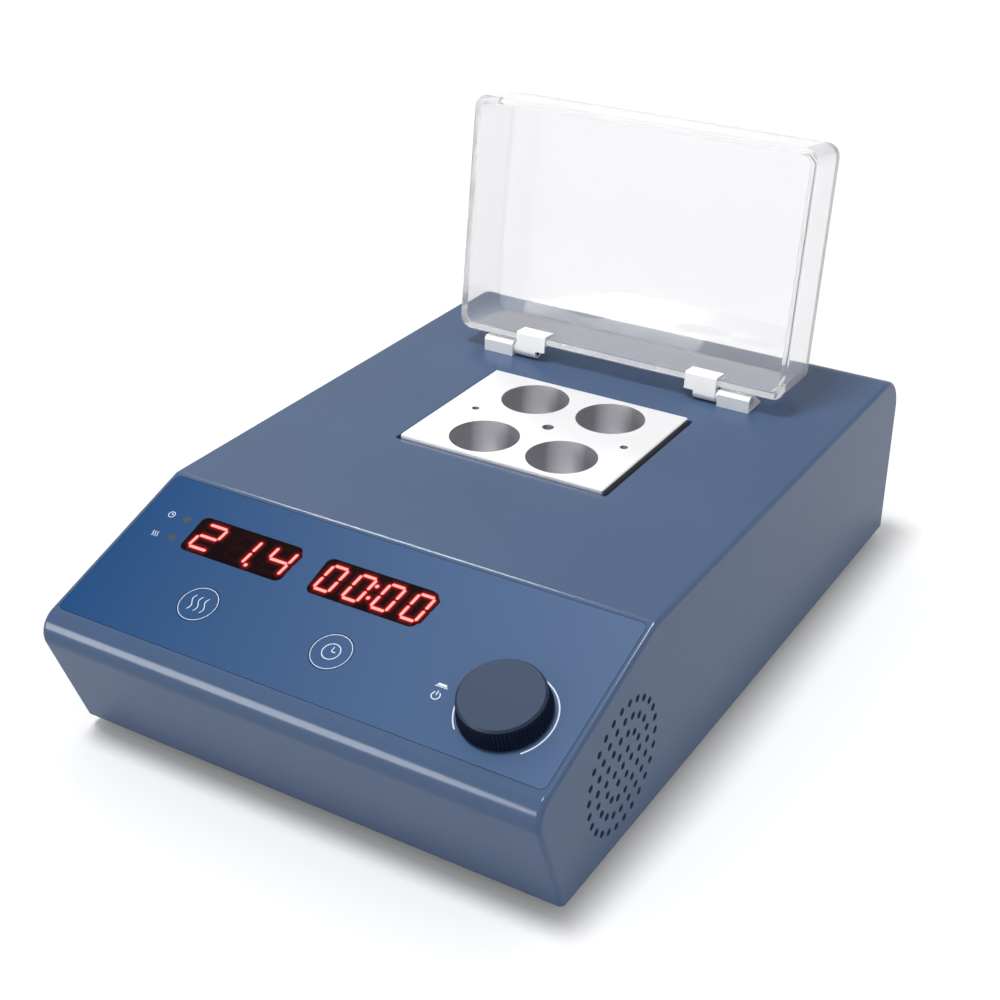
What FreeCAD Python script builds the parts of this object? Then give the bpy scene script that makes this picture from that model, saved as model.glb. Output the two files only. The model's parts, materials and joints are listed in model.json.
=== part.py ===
import FreeCAD, Part
import math
import os

# Dry bath incubator: a heated metal block for tubes in a sloped bench housing.
# Millimetres, +Z up, front towards -Y, origin on the table under the housing's centre.

V = FreeCAD.Vector
X_AXIS = V(1, 0, 0)
Y_AXIS = V(0, 1, 0)
Z_AXIS = V(0, 0, 1)

# Housing: overall sizes, side outline and wall
BODY_WIDTH = 216.0
BODY_DEPTH = 330.0
COVER_HEIGHT = 80.0
FOOT_HEIGHT = 6.0
WALL = 2.0
PANEL_ANGLE = 18.8
PANEL_LENGTH = 88.0
FRONT_LEAN = 21.3
NOSE_RADIUS = 9.5
BREAK_RADIUS = 4.5
BACK_RADIUS = 18.0
EDGE_RADIUS = 2.0
SEAT_GAP = 0.3
CLOSE_FIT = 0.05
RUNNING_FIT = 0.05
CUT_MARGIN = 1.0

# Base plate, its bosses and the feet
BASE_THICKNESS = 1.5
BASE_INSET = 0.6
BOSS_RADIUS = 4.0
BOSS_BITE = 0.5
BOSS_FRONT_INSET = 27.0
BOSS_MIDDLE_Y = 10.0
BOSS_BACK_INSET = 15.0
FOOT_TOP_RADIUS = 9.0
FOOT_BOTTOM_RADIUS = 8.0
FOOT_RECESS_RADIUS = 4.2
FOOT_RECESS_DEPTH = 3.4
FOOT_SIDE_INSET = 24.0
FOOT_FRONT_INSET = 43.0
FOOT_BACK_INSET = 27.0
SLOT_LENGTH = 26.0
SLOT_WIDTH = 3.0
SLOT_PITCH = 8.0
SLOT_COUNT = 5
SLOT_BACK_X = -42.0
SLOT_BACK_INSET = 66.0
SLOT_FRONT_INSET = 72.0

# Side grille: one centre hole and rings of holes
VENT_INSET = 58.7
VENT_HEIGHT = 32.9
VENT_RING_STEP = 6.2
VENT_HOLE_RADIUS = 1.5
VENT_RING_COUNTS = (6, 14, 20, 26)

# Fan behind the grille
FAN_SIZE = 50.0
FAN_DEPTH = 15.0
FAN_STANDOFF = 2.5
FAN_POST_SPREAD = 40.0
FAN_DUCT_RADIUS = 23.4
FAN_TIP_GAP = 0.6
FAN_HUB_RADIUS = 11.0
FAN_HUB_DEPTH = 9.0
FAN_BASE_DEPTH = 3.0
FAN_BLADES = 7
FAN_BLADE_PITCH = 38.0
FAN_BLADE_CHORD = 11.0
FAN_BLADE_THICKNESS = 1.0
FAN_SPINDLE_RADIUS = 1.5
FAN_BEARING_FLOOR = 0.5
FAN_BOSS_RADIUS = 3.5
FAN_CORNER_RADIUS = 3.0
FAN_STRUT_WIDTH = 4.0

# Heating block and the well that it sits in
BLOCK_WIDTH = 95.8
BLOCK_DEPTH = 77.8
BLOCK_HEIGHT = 50.0
BLOCK_RISE = 1.8
BLOCK_BACK_INSET = 138.3
BLOCK_CHAMFER = 0.5
BLOCK_GAP_X = 2.0
BLOCK_GAP_Y = 1.0
OPENING_CORNER_RADIUS = 1.0
WELL_RADIUS = 14.93
WELL_PITCH_X = 36.9
WELL_PITCH_Y = 42.5
WELL_SHIFT_X = 1.6
WELL_SHIFT_Y = -0.8
WELL_STRAIGHT = 32.0
WELL_CONE = 9.0
WELL_FLOOR_RADIUS = 5.0
LIFT_HOLE_RADIUS = 2.5
LIFT_HOLE_DEPTH = 14.0
PROBE_HOLE_RADIUS = 1.7
PROBE_HOLE_DEPTH = 25.0
PROBE_HOLE_X = 36.0
WELL_SHEET = 1.0
WELL_SIDE_GAP = 0.5
WELL_FLANGE = 6.0
GASKET_THICKNESS = 1.5
JACKET_THICKNESS = 6.0
HEATER_PLATE_THICKNESS = 8.0
HEATER_MAT_THICKNESS = 1.2
PAD_THICKNESS = 10.0
PROBE_RADIUS = 2.0
PROBE_BITE = 26.0
PROBE_TAIL = 12.0
CUTOUT_RADIUS = 8.0
CUTOUT_HEIGHT = 7.0
TAB_THICKNESS = 0.8
TAB_WIDTH = 4.0
PILLAR_RADIUS = 4.0
PILLAR_X = 40.0
PILLAR_Y = 32.0

# Control panel: places are measured across from the centre and down the slope from the break
OVERLAY_SIDE_MARGIN = 2.7
OVERLAY_TOP = 1.8
OVERLAY_BOTTOM = 77.0
OVERLAY_RADIUS = 2.5
OVERLAY_THICKNESS = 0.5
OVERLAY_SEAM = 0.2
WINDOW_WIDTH = 48.6
WINDOW_HEIGHT = 18.0
WINDOW_RADIUS = 3.0
WINDOW_DOWN = 25.6
WINDOW_FROM_LAMPS = 30.4
WINDOW_PITCH = 60.0
DISPLAY_WIDTH = 50.3
DISPLAY_HEIGHT = 19.0
DISPLAY_DEPTH = 8.0
LAMP_INSET = 22.2
LAMP_DOWNS = (20.7, 30.9)
LAMP_RADIUS = 1.7
LAMP_BODY_RADIUS = 1.5
KEY_FROM_WINDOW = 1.4
KEY_PITCH = 60.6
KEY_DOWN = 55.0
KEY_RADIUS = 8.2
KEY_GAP = 0.2
KEY_FLANGE = 1.3
KEY_FLANGE_THICKNESS = 0.8
KEY_STEM_RADIUS = 1.7
KEY_STEM_GAP = 0.1
KEY_TRAVEL = 0.4
SWITCH_SIZE = 6.2
SWITCH_HEIGHT = 3.6
SWITCH_FLOOR = 1.0
BOARD_THICKNESS = 1.6
BOARD_LEFT_INSET = 12.0
BOARD_RIGHT_INSET = 22.0
BOARD_TOP = 7.0
BOARD_BOTTOM = 72.0
BOARD_POST_INSET = 4.5
BOARD_BOSS_RADIUS = 3.0
BUZZER_RADIUS = 6.0
BUZZER_HEIGHT = 8.5
BUZZER_FROM_KEY = 30.0
BUZZER_HOLE_RADIUS = 1.2
BUZZER_HOLE_DEPTH = 2.0

# Rotary control: encoder, shaft and knob
KNOB_INSET = 29.8
KNOB_DOWN = 54.5
KNOB_LIFT = 0.7
KNOB_HEIGHT = 9.3
KNOB_BASE_RADIUS = 16.9
KNOB_TOP_RADIUS = 15.9
KNOB_CHAMFER = 0.8
KNOB_RIBS = 76
KNOB_RIB_DEPTH = 0.45
KNOB_COLLAR = 1.6
KNOB_SHELL = 2.2
KNOB_HUB_RADIUS = 5.5
KNOB_TRAVEL = 0.5
SHAFT_RADIUS = 3.0
SHAFT_FLAT = 1.0
SHAFT_BITE = 7.5
BUSHING_RADIUS = 3.5
BUSHING_RISE = 1.6
NUT_HEIGHT = 1.3
NUT_RADIUS = 5.6
ENCODER_SIZE = 12.6
ENCODER_CAVITY_RADIUS = 5.3
ENCODER_FLOOR = 0.5
ROTOR_RADIUS = 5.1
ROTOR_TOP_DEPTH = 4.2
ROTOR_THICKNESS = 2.0

# Lid, its clips and the two hinges
LID_WIDTH = 162.9
LID_LENGTH = 107.6
LID_DEPTH = 30.6
LID_WALL = 3.1
LID_DRAFT = 1.4
LID_CORNER_RADIUS = 6.0
LID_EDGE_RADIUS = 1.0
LID_LEAN = 7.7
PIN_BEHIND_BLOCK = 62.86
PIN_HEIGHT = 3.3
PIN_RADIUS = 1.5
LID_RIM_OFFSET = 1.95
LID_WALL_OFFSET = 4.58
CLIP_SHEET = 1.0
CLIP_INNER_X = 35.4
CLIP_NOTCH_X = 39.9
CLIP_OUTER_X = 50.3
CLIP_NOTCH_RISE = 0.9
CLIP_TOP_LIP = 6.5
CLIP_LOWER_LIP = 8.0
HINGE_INNER_X = 51.7
HINGE_WIDTH = 15.0
HINGE_FRONT = 3.5
HINGE_TOP = 6.9
HINGE_CHAMFER = 1.2
HINGE_RIDGE_BACK = 1.7
HINGE_BACK = 10.2
HINGE_BACK_RISE = 0.6
HINGE_END_BORE_RADIUS = 2.6
HINGE_END_BORE_DEPTH = 3.0
HINGE_SEAT_BACK = 6.2
HINGE_SEAT_SPREAD = 7.6
HINGE_SEAT_RISE = 1.6
HINGE_SEAT_RADIUS = 2.5
WASHER_RADIUS = 2.6
WASHER_GAP = 0.15

# Service recess in the back: mains inlet, fuse drawer and rocker switch
RECESS_INSET = 58.0
RECESS_WIDTH = 78.0
RECESS_HEIGHT = 42.0
RECESS_RISE = 30.0
RECESS_DEPTH = 4.0
RECESS_RADIUS = 4.0
INLET_INSET = 72.0
INLET_FLANGE_WIDTH = 33.0
INLET_FLANGE_HEIGHT = 36.0
INLET_FLANGE_THICKNESS = 2.0
INLET_BODY_WIDTH = 27.0
INLET_BODY_HEIGHT = 31.0
INLET_BODY_DEPTH = 24.0
INLET_SOCKET_WIDTH = 24.6
INLET_SOCKET_HEIGHT = 16.8
INLET_SOCKET_DEPTH = 15.5
INLET_SOCKET_RISE = 6.0
INLET_CORNER = 4.0
PIN_BLADE_WIDTH = 2.0
PIN_BLADE_HEIGHT = 4.0
PIN_SPREAD = 14.0
PIN_EARTH_RISE = 4.0
PIN_SHORT = 3.0
PIN_TAIL = 6.0
DRAWER_WIDTH = 23.0
DRAWER_HEIGHT = 7.0
DRAWER_DEPTH = 14.0
DRAWER_DROP = 10.0
DRAWER_GAP = 0.25
DRAWER_FLOOR = 0.8
DRAWER_GRIP_HEIGHT = 1.2
DRAWER_GRIP_DEPTH = 1.0
FUSE_RADIUS = 2.5
FUSE_LENGTH = 20.0
ROCKER_INSET = 34.0
ROCKER_FLANGE_WIDTH = 15.0
ROCKER_FLANGE_HEIGHT = 21.0
ROCKER_FLANGE_THICKNESS = 1.5
ROCKER_BODY_WIDTH = 12.6
ROCKER_BODY_HEIGHT = 18.6
ROCKER_BODY_DEPTH = 16.0
ROCKER_WIDTH = 10.2
ROCKER_RADIUS = 8.2
ROCKER_GAP = 0.3
ROCKER_PIVOT_DEPTH = 3.3
ROCKER_VALLEY = 3.2
ROCKER_TILT = 10.0
ROCKER_TRUNNION_RADIUS = 1.2
ROCKER_TRUNNION_LENGTH = 0.6

# Power board on the base plate
POWER_LEFT = -12.0
POWER_WIDTH = 86.0
POWER_BACK_INSET = 15.0
POWER_DEPTH = 62.0
POWER_PILLAR_HEIGHT = 6.0
POWER_PILLAR_RADIUS = 3.0
POWER_PILLAR_INSET = 5.0
TRANSFORMER_SIZE = (36.0, 30.0, 28.0)
TRANSFORMER_PLACE = (0.3, 0.38)
CAPACITOR_RADIUS = 8.0
CAPACITOR_HEIGHT = 22.0
CAPACITOR_PLACE = (0.62, 0.3)
TERMINAL_SIZE = (40.0, 10.0, 11.0)
TERMINAL_WAYS = 5
TERMINAL_HOLE_RADIUS = 2.0
TERMINAL_HOLE_DEPTH = 3.0
HEATSINK_SIZE = (34.0, 15.0, 26.0)
HEATSINK_PLACE = (0.74, 0.66)
HEATSINK_FINS = 6
HEATSINK_FIN = 1.4
HEATSINK_SPINE = 3.0

# Planes and places worked out from the sizes above
TOP_Z = FOOT_HEIGHT + COVER_HEIGHT
HALF_WIDTH = BODY_WIDTH / 2
FRONT_Y = -BODY_DEPTH / 2
BACK_Y = BODY_DEPTH / 2
SLOPE = math.radians(PANEL_ANGLE)
LEAN = math.radians(FRONT_LEAN)
NOSE_HALF_ANGLE = (math.pi / 2 - LEAN + SLOPE) / 2
NOSE_AXIS_ANGLE = (SLOPE + LEAN - math.pi / 2) / 2
NOSE_REACH = NOSE_RADIUS / math.sin(NOSE_HALF_ANGLE)
NOSE_Y = FRONT_Y + NOSE_RADIUS - NOSE_REACH * math.cos(NOSE_AXIS_ANGLE)
NOSE_Z = TOP_Z - PANEL_LENGTH * math.sin(SLOPE)
BREAK_Y = NOSE_Y + PANEL_LENGTH * math.cos(SLOPE)
INNER_HALF_WIDTH = HALF_WIDTH - WALL
BOSS_FRONT_Y = FRONT_Y + BOSS_FRONT_INSET
BOSS_BACK_Y = BACK_Y - BOSS_BACK_INSET
FOOT_SPREAD_X = HALF_WIDTH - FOOT_SIDE_INSET
FOOT_FRONT_Y = FRONT_Y + FOOT_FRONT_INSET
FOOT_BACK_Y = BACK_Y - FOOT_BACK_INSET
VENT_Y = FRONT_Y + VENT_INSET
OVERLAY_HALF_WIDTH = HALF_WIDTH - OVERLAY_SIDE_MARGIN
LAMP_X = LAMP_INSET - HALF_WIDTH
TEMPERATURE_WINDOW_X = LAMP_X + WINDOW_FROM_LAMPS
TIMER_WINDOW_X = TEMPERATURE_WINDOW_X + WINDOW_PITCH
HEAT_KEY_X = TEMPERATURE_WINDOW_X + KEY_FROM_WINDOW
TIMER_KEY_X = HEAT_KEY_X + KEY_PITCH
BUZZER_X = HEAT_KEY_X + BUZZER_FROM_KEY
BOARD_LEFT = BOARD_LEFT_INSET - HALF_WIDTH
BOARD_RIGHT = HALF_WIDTH - BOARD_RIGHT_INSET
KNOB_X = HALF_WIDTH - KNOB_INSET
BASE_BOTTOM = FOOT_HEIGHT + BASE_INSET
BASE_TOP = BASE_BOTTOM + BASE_THICKNESS
VENT_Z = FOOT_HEIGHT + VENT_HEIGHT
COVER_UNDERSIDE = TOP_Z - WALL
BLOCK_Y = BACK_Y - BLOCK_BACK_INSET
WELLS_Y = BLOCK_Y + WELL_SHIFT_Y
BLOCK_TOP = TOP_Z + BLOCK_RISE
BLOCK_BOTTOM = BLOCK_TOP - BLOCK_HEIGHT
PLATE_BOTTOM = BLOCK_BOTTOM - HEATER_PLATE_THICKNESS
MAT_BOTTOM = PLATE_BOTTOM - HEATER_MAT_THICKNESS
PAD_BOTTOM = MAT_BOTTOM - PAD_THICKNESS
TRAY_BOTTOM = PAD_BOTTOM - WELL_SHEET
OPENING_WIDTH = BLOCK_WIDTH + 2 * BLOCK_GAP_X
OPENING_DEPTH = BLOCK_DEPTH + 2 * BLOCK_GAP_Y
WELL_INNER_WIDTH = OPENING_WIDTH + 2 * WELL_SIDE_GAP
WELL_INNER_DEPTH = OPENING_DEPTH + 2 * WELL_SIDE_GAP
FLANGE_TOP = COVER_UNDERSIDE - GASKET_THICKNESS
BOARD_FACE = -(OVERLAY_THICKNESS + DISPLAY_DEPTH)
BOARD_BACK = BOARD_FACE - BOARD_THICKNESS
PIN_Y = BLOCK_Y + PIN_BEHIND_BLOCK
PIN_Z = TOP_Z + PIN_HEIGHT
PIN_POINT = V(0, PIN_Y, PIN_Z)
BARREL_RADIUS = LID_RIM_OFFSET + CLIP_SHEET
HINGE_OUTER_X = HINGE_INNER_X + HINGE_WIDTH
RECESS_FLOOR_Y = BACK_Y - RECESS_DEPTH
RECESS_Z = FOOT_HEIGHT + RECESS_RISE
RECESS_X = RECESS_INSET - HALF_WIDTH
INLET_X = INLET_INSET - HALF_WIDTH
ROCKER_X = ROCKER_INSET - HALF_WIDTH
ROCKER_PIVOT_Y = RECESS_FLOOR_Y + ROCKER_FLANGE_THICKNESS - ROCKER_PIVOT_DEPTH
INLET_FACE_Y = RECESS_FLOOR_Y + INLET_FLANGE_THICKNESS
FAN_OUTER_X = INNER_HALF_WIDTH - FAN_STANDOFF
FAN_INNER_X = FAN_OUTER_X - FAN_DEPTH
POWER_BOTTOM = BASE_TOP + POWER_PILLAR_HEIGHT
POWER_TOP = POWER_BOTTOM + BOARD_THICKNESS
POWER_BACK_Y = BACK_Y - POWER_BACK_INSET
POWER_FRONT_Y = POWER_BACK_Y - POWER_DEPTH
POWER_RIGHT = POWER_LEFT + POWER_WIDTH


def rounded_wire(corners, place):
    """Closed outline through corners (u, v, radius); place turns (u, v) into a point."""
    edges = []
    ends = []
    count = len(corners)
    for index in range(count):
        u, v, radius = corners[index]
        here = V(u, v, 0)
        before = V(corners[index - 1][0], corners[index - 1][1], 0)
        after = V(corners[(index + 1) % count][0], corners[(index + 1) % count][1], 0)
        if radius <= 0:
            ends.append((here, here, None))
            continue
        back = (before - here).normalize()
        ahead = (after - here).normalize()
        half = back.getAngle(ahead) / 2
        reach = radius / math.tan(half)
        bisector = (back + ahead).normalize()
        middle = here + bisector * (radius / math.sin(half) - radius)
        ends.append((here + back * reach, here + ahead * reach, middle))
    for index in range(count):
        start, stop, middle = ends[index]
        if middle is not None:
            edges.append(Part.Arc(place(start), place(middle), place(stop)).toShape())
        following = ends[(index + 1) % count][0]
        if (following - stop).Length > 1e-6:
            edges.append(Part.LineSegment(place(stop), place(following)).toShape())
    return Part.Wire(edges)


def in_plan(z):
    """Maps (u, v) to the level plane at height z."""
    return lambda point: V(point.x, point.y, z)


def in_side(x):
    """Maps (u, v) to the upright plane across X at x: u runs along Y, v runs up."""
    return lambda point: V(x, point.x, point.y)


def in_back(y):
    """Maps (u, v) to the upright plane across Y at y: u runs along X, v runs up."""
    return lambda point: V(point.x, y, point.y)


def rectangle(width, height, radius, u=0.0, v=0.0):
    """Corners of a rectangle centred on (u, v) with rounded corners."""
    corners = []
    for side_u, side_v in ((-1, -1), (1, -1), (1, 1), (-1, 1)):
        corners.append((u + side_u * width / 2, v + side_v * height / 2, radius))
    return corners


def slab(width, depth, radius, bottom, height, x=0.0, y=0.0):
    """Level plate with rounded upright corners, centred on (x, y)."""
    face = Part.Face(rounded_wire(rectangle(width, depth, radius, x, y), in_plan(bottom)))
    return face.extrude(V(0, 0, height))


def upright_slab(width, height, radius, front, depth, x=0.0, z=0.0):
    """Upright plate facing Y with rounded corners, centred on (x, z)."""
    face = Part.Face(rounded_wire(rectangle(width, height, radius, x, z), in_back(front)))
    return face.extrude(V(0, depth, 0))


def side_prism(corners, start_x, end_x):
    """Side outline of (y, z, radius) corners run along X."""
    face = Part.Face(rounded_wire(corners, in_side(start_x)))
    return face.extrude(V(end_x - start_x, 0, 0))


def rod(radius, start, end):
    """Round bar between two points."""
    return Part.makeCylinder(radius, (end - start).Length, start, end - start)


def box(low, high):
    """Box between two corners."""
    size = high - low
    return Part.makeBox(size.x, size.y, size.z, low)


def turned(profile):
    """Solid of revolution about Z from (radius, height) points."""
    points = [V(radius, 0, height) for radius, height in profile]
    points.append(points[0])
    return Part.Face(Part.makePolygon(points)).revolve(V(), Z_AXIS, 360)


def joined(shapes):
    """One solid from shapes that touch or overlap."""
    return shapes[0].multiFuse(shapes[1:]).removeSplitter()


def group(shapes):
    """Separate solids kept together in one node."""
    return Part.makeCompound(shapes)


def on_panel(shape):
    """Moves a shape drawn flat, with the break along X and up the slope along Y, to the panel."""
    placed = shape.copy()
    placed.rotate(V(), X_AXIS, PANEL_ANGLE)
    placed.translate(V(0, BREAK_Y, TOP_Z))
    return placed


def front_y_at(z):
    """Y of the leaning front face at height z."""
    return NOSE_Y + (NOSE_Z - z) * math.tan(LEAN)


def side_corners(bottom):
    """Side outline of the housing down to a given height."""
    return [
        (front_y_at(bottom), bottom, 0),
        (BACK_Y, bottom, 0),
        (BACK_Y, TOP_Z, BACK_RADIUS),
        (BREAK_Y, TOP_Z, BREAK_RADIUS),
        (NOSE_Y, NOSE_Z, NOSE_RADIUS),
    ]


def outer_body():
    """Outer form of the housing with its softened side edges."""
    body = side_prism(side_corners(FOOT_HEIGHT), -HALF_WIDTH, HALF_WIDTH)
    soft = []
    for edge in body.Edges:
        box_of_edge = edge.BoundBox
        on_side = abs(abs(box_of_edge.XMin) - HALF_WIDTH) < 1e-6 and box_of_edge.XLength < 1e-6
        if on_side and box_of_edge.ZMax > FOOT_HEIGHT + 1e-6:
            soft.append(edge)
    return body.makeFillet(EDGE_RADIUS, soft)


def inner_void():
    """Space inside the walls, open at the bottom."""
    wire = rounded_wire(side_corners(FOOT_HEIGHT - 4 * WALL), in_side(-INNER_HALF_WIDTH))
    inset = wire.makeOffset2D(-WALL)
    return Part.Face(inset).extrude(V(2 * INNER_HALF_WIDTH, 0, 0))


def boss_points():
    """Plan places of the six bosses inside the housing that take the base plate."""
    boss_x = INNER_HALF_WIDTH - BOSS_RADIUS + BOSS_BITE
    return [(side * boss_x, y) for side in (-1, 1) for y in (BOSS_FRONT_Y, BOSS_MIDDLE_Y, BOSS_BACK_Y)]


def board_post_points():
    """Across and along places of the control board's posts."""
    places = []
    for across in (BOARD_LEFT + BOARD_POST_INSET, BOARD_RIGHT - BOARD_POST_INSET):
        for down in (BOARD_TOP + BOARD_POST_INSET, BOARD_BOTTOM - BOARD_POST_INSET):
            places.append((across, -down))
    return places


def fan_post_points():
    """Y and Z of the fan's four posts."""
    reach = FAN_POST_SPREAD / 2
    return [(VENT_Y + dy * reach, VENT_Z + dz * reach) for dy in (-1, 1) for dz in (-1, 1)]


def vent_cutters():
    """Round cutters of the side grille: a centre hole and four rings."""
    start = INNER_HALF_WIDTH - CUT_MARGIN
    reach = WALL + 2 * CUT_MARGIN
    cutters = [Part.makeCylinder(VENT_HOLE_RADIUS, reach, V(start, VENT_Y, VENT_Z), X_AXIS)]
    for ring, count in enumerate(VENT_RING_COUNTS, 1):
        for index in range(count):
            turn = 2 * math.pi * index / count
            y = VENT_Y + ring * VENT_RING_STEP * math.cos(turn)
            z = VENT_Z + ring * VENT_RING_STEP * math.sin(turn)
            cutters.append(Part.makeCylinder(VENT_HOLE_RADIUS, reach, V(start, y, z), X_AXIS))
    return cutters


def panel_cutters():
    """Cutters of the control panel: film seat, displays, lamps, keys and shaft."""
    seat_width = 2 * (OVERLAY_HALF_WIDTH + OVERLAY_SEAM)
    seat_height = OVERLAY_BOTTOM - OVERLAY_TOP + 2 * OVERLAY_SEAM
    seat_middle = -(OVERLAY_TOP + OVERLAY_BOTTOM) / 2
    seat_radius = OVERLAY_RADIUS + OVERLAY_SEAM
    seat = slab(seat_width, seat_height, seat_radius, -OVERLAY_THICKNESS, 2 * CUT_MARGIN, 0, seat_middle)
    through = WALL + 2 * CUT_MARGIN
    low = -WALL - CUT_MARGIN
    cutters = [seat]
    for x in (TEMPERATURE_WINDOW_X, TIMER_WINDOW_X):
        cutters.append(slab(DISPLAY_WIDTH, DISPLAY_HEIGHT, 0, low, through, x, -WINDOW_DOWN))
    for down in LAMP_DOWNS:
        cutters.append(Part.makeCylinder(LAMP_RADIUS, through, V(LAMP_X, -down, low)))
    for x in (HEAT_KEY_X, TIMER_KEY_X):
        cutters.append(Part.makeCylinder(KEY_RADIUS + KEY_GAP, through, V(x, -KEY_DOWN, low)))
    shaft_hole = BUSHING_RADIUS + CLOSE_FIT
    cutters.append(Part.makeCylinder(shaft_hole, through, V(KNOB_X, -KNOB_DOWN, low)))
    return [on_panel(cutter) for cutter in cutters]


def board_bosses():
    """Short posts under the panel that carry the control board."""
    posts = []
    length = -BOARD_FACE - WALL + BOSS_BITE
    for x, y in board_post_points():
        posts.append(on_panel(Part.makeCylinder(BOARD_BOSS_RADIUS, length, V(x, y, BOARD_FACE))))
    return posts


def recess_pad():
    """Thickened back wall behind the service recess."""
    width = RECESS_WIDTH + 2 * WALL
    height = RECESS_HEIGHT + 2 * WALL
    depth = RECESS_DEPTH + BOSS_BITE
    return upright_slab(width, height, RECESS_RADIUS, RECESS_FLOOR_Y - WALL, depth, RECESS_X, RECESS_Z)


def recess_cutters():
    """Cutters of the service recess and its two openings."""
    pocket_depth = RECESS_DEPTH + CUT_MARGIN
    pocket = upright_slab(
        RECESS_WIDTH, RECESS_HEIGHT, RECESS_RADIUS, RECESS_FLOOR_Y, pocket_depth, RECESS_X, RECESS_Z)
    start = RECESS_FLOOR_Y - WALL - CUT_MARGIN
    depth = WALL + 2 * CUT_MARGIN
    inlet_width = INLET_BODY_WIDTH + 2 * CLOSE_FIT
    inlet_height = INLET_BODY_HEIGHT + 2 * CLOSE_FIT
    inlet_hole = upright_slab(inlet_width, inlet_height, 0, start, depth, INLET_X, RECESS_Z)
    rocker_width = ROCKER_BODY_WIDTH + 2 * CLOSE_FIT
    rocker_height = ROCKER_BODY_HEIGHT + 2 * CLOSE_FIT
    rocker_hole = upright_slab(rocker_width, rocker_height, 0, start, depth, ROCKER_X, RECESS_Z)
    return [pocket, inlet_hole, rocker_hole]


def hinge_seat_points():
    """Plan places of the screw seats in the hinge blocks."""
    points = []
    y = PIN_Y + HINGE_SEAT_BACK
    middle = HINGE_INNER_X + HINGE_WIDTH / 2
    for side in (-1, 1):
        for offset in (-HINGE_SEAT_SPREAD / 2, HINGE_SEAT_SPREAD / 2):
            points.append((side * (middle + offset), y))
    return points


def housing():
    """One-piece cover: top, sides, leaning front, control slope and rounded back."""
    outer = outer_body()
    posts = []
    for x, y in boss_points():
        posts.append(rod(BOSS_RADIUS, V(x, y, BASE_TOP), V(x, y, TOP_Z)).common(outer))
    for y, z in fan_post_points():
        posts.append(rod(FAN_BOSS_RADIUS, V(FAN_OUTER_X, y, z), V(INNER_HALF_WIDTH + BOSS_BITE, y, z)))
    posts.extend(board_bosses())
    posts.append(recess_pad())
    shell = outer.cut(inner_void()).multiFuse(posts)
    opening = slab(
        OPENING_WIDTH, OPENING_DEPTH, OPENING_CORNER_RADIUS, COVER_UNDERSIDE - CUT_MARGIN,
        WALL + 2 * CUT_MARGIN, 0, BLOCK_Y)
    cutters = [opening]
    cutters.extend(vent_cutters())
    cutters.extend(panel_cutters())
    cutters.extend(recess_cutters())
    return shell.cut(cutters).removeSplitter()


def foot_points():
    """Plan places of the four feet."""
    return [(side * FOOT_SPREAD_X, y) for side in (-1, 1) for y in (FOOT_FRONT_Y, FOOT_BACK_Y)]


def pillar_points():
    """Plan places of the four pillars under the well."""
    return [(sx * PILLAR_X, BLOCK_Y + sy * PILLAR_Y) for sx in (-1, 1) for sy in (-1, 1)]


def power_pillar_points():
    """Plan places of the power board's pillars."""
    places = []
    for x in (POWER_LEFT + POWER_PILLAR_INSET, POWER_RIGHT - POWER_PILLAR_INSET):
        for y in (POWER_FRONT_Y + POWER_PILLAR_INSET, POWER_BACK_Y - POWER_PILLAR_INSET):
            places.append((x, y))
    return places


def base_slots():
    """Air slots under the front and back bays."""
    cutters = []
    low = BASE_BOTTOM - CUT_MARGIN
    rows = ((0.0, FRONT_Y + SLOT_FRONT_INSET), (SLOT_BACK_X, BACK_Y - SLOT_BACK_INSET))
    through = BASE_THICKNESS + 2 * CUT_MARGIN
    for row_x, row_y in rows:
        for index in range(SLOT_COUNT):
            y = row_y + (index - (SLOT_COUNT - 1) / 2) * SLOT_PITCH
            cutters.append(slab(SLOT_LENGTH, SLOT_WIDTH, 0, low, through, row_x, y))
    return cutters


def base_plate():
    """Sheet plate that closes the bottom."""
    inner_front = front_y_at(BASE_BOTTOM) + WALL / math.cos(LEAN) + SEAT_GAP
    inner_back = BACK_Y - WALL - SEAT_GAP
    width = 2 * (INNER_HALF_WIDTH - SEAT_GAP)
    depth = inner_back - inner_front
    plate = slab(width, depth, 0, BASE_BOTTOM, BASE_THICKNESS, 0, (inner_front + inner_back) / 2)
    return plate.cut(base_slots())


def feet():
    """Four moulded feet, each with a recess for its screw."""
    profile = [
        (0, FOOT_RECESS_DEPTH),
        (FOOT_RECESS_RADIUS, FOOT_RECESS_DEPTH),
        (FOOT_RECESS_RADIUS, 0),
        (FOOT_BOTTOM_RADIUS, 0),
        (FOOT_TOP_RADIUS, BASE_BOTTOM),
        (0, BASE_BOTTOM),
    ]
    pads = []
    for x, y in foot_points():
        pad = turned(profile)
        pad.translate(V(x, y, 0))
        pads.append(pad)
    return group(pads)


def probe_bar(extra):
    """Bar along the temperature probe, swollen by extra."""
    inner = BLOCK_Y - BLOCK_DEPTH / 2 + PROBE_BITE
    outer = BLOCK_Y - WELL_INNER_DEPTH / 2 - WELL_SHEET - JACKET_THICKNESS - PROBE_TAIL
    z = PLATE_BOTTOM + HEATER_PLATE_THICKNESS / 2
    return rod(PROBE_RADIUS + extra, V(0, outer, z), V(0, inner, z))


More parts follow.
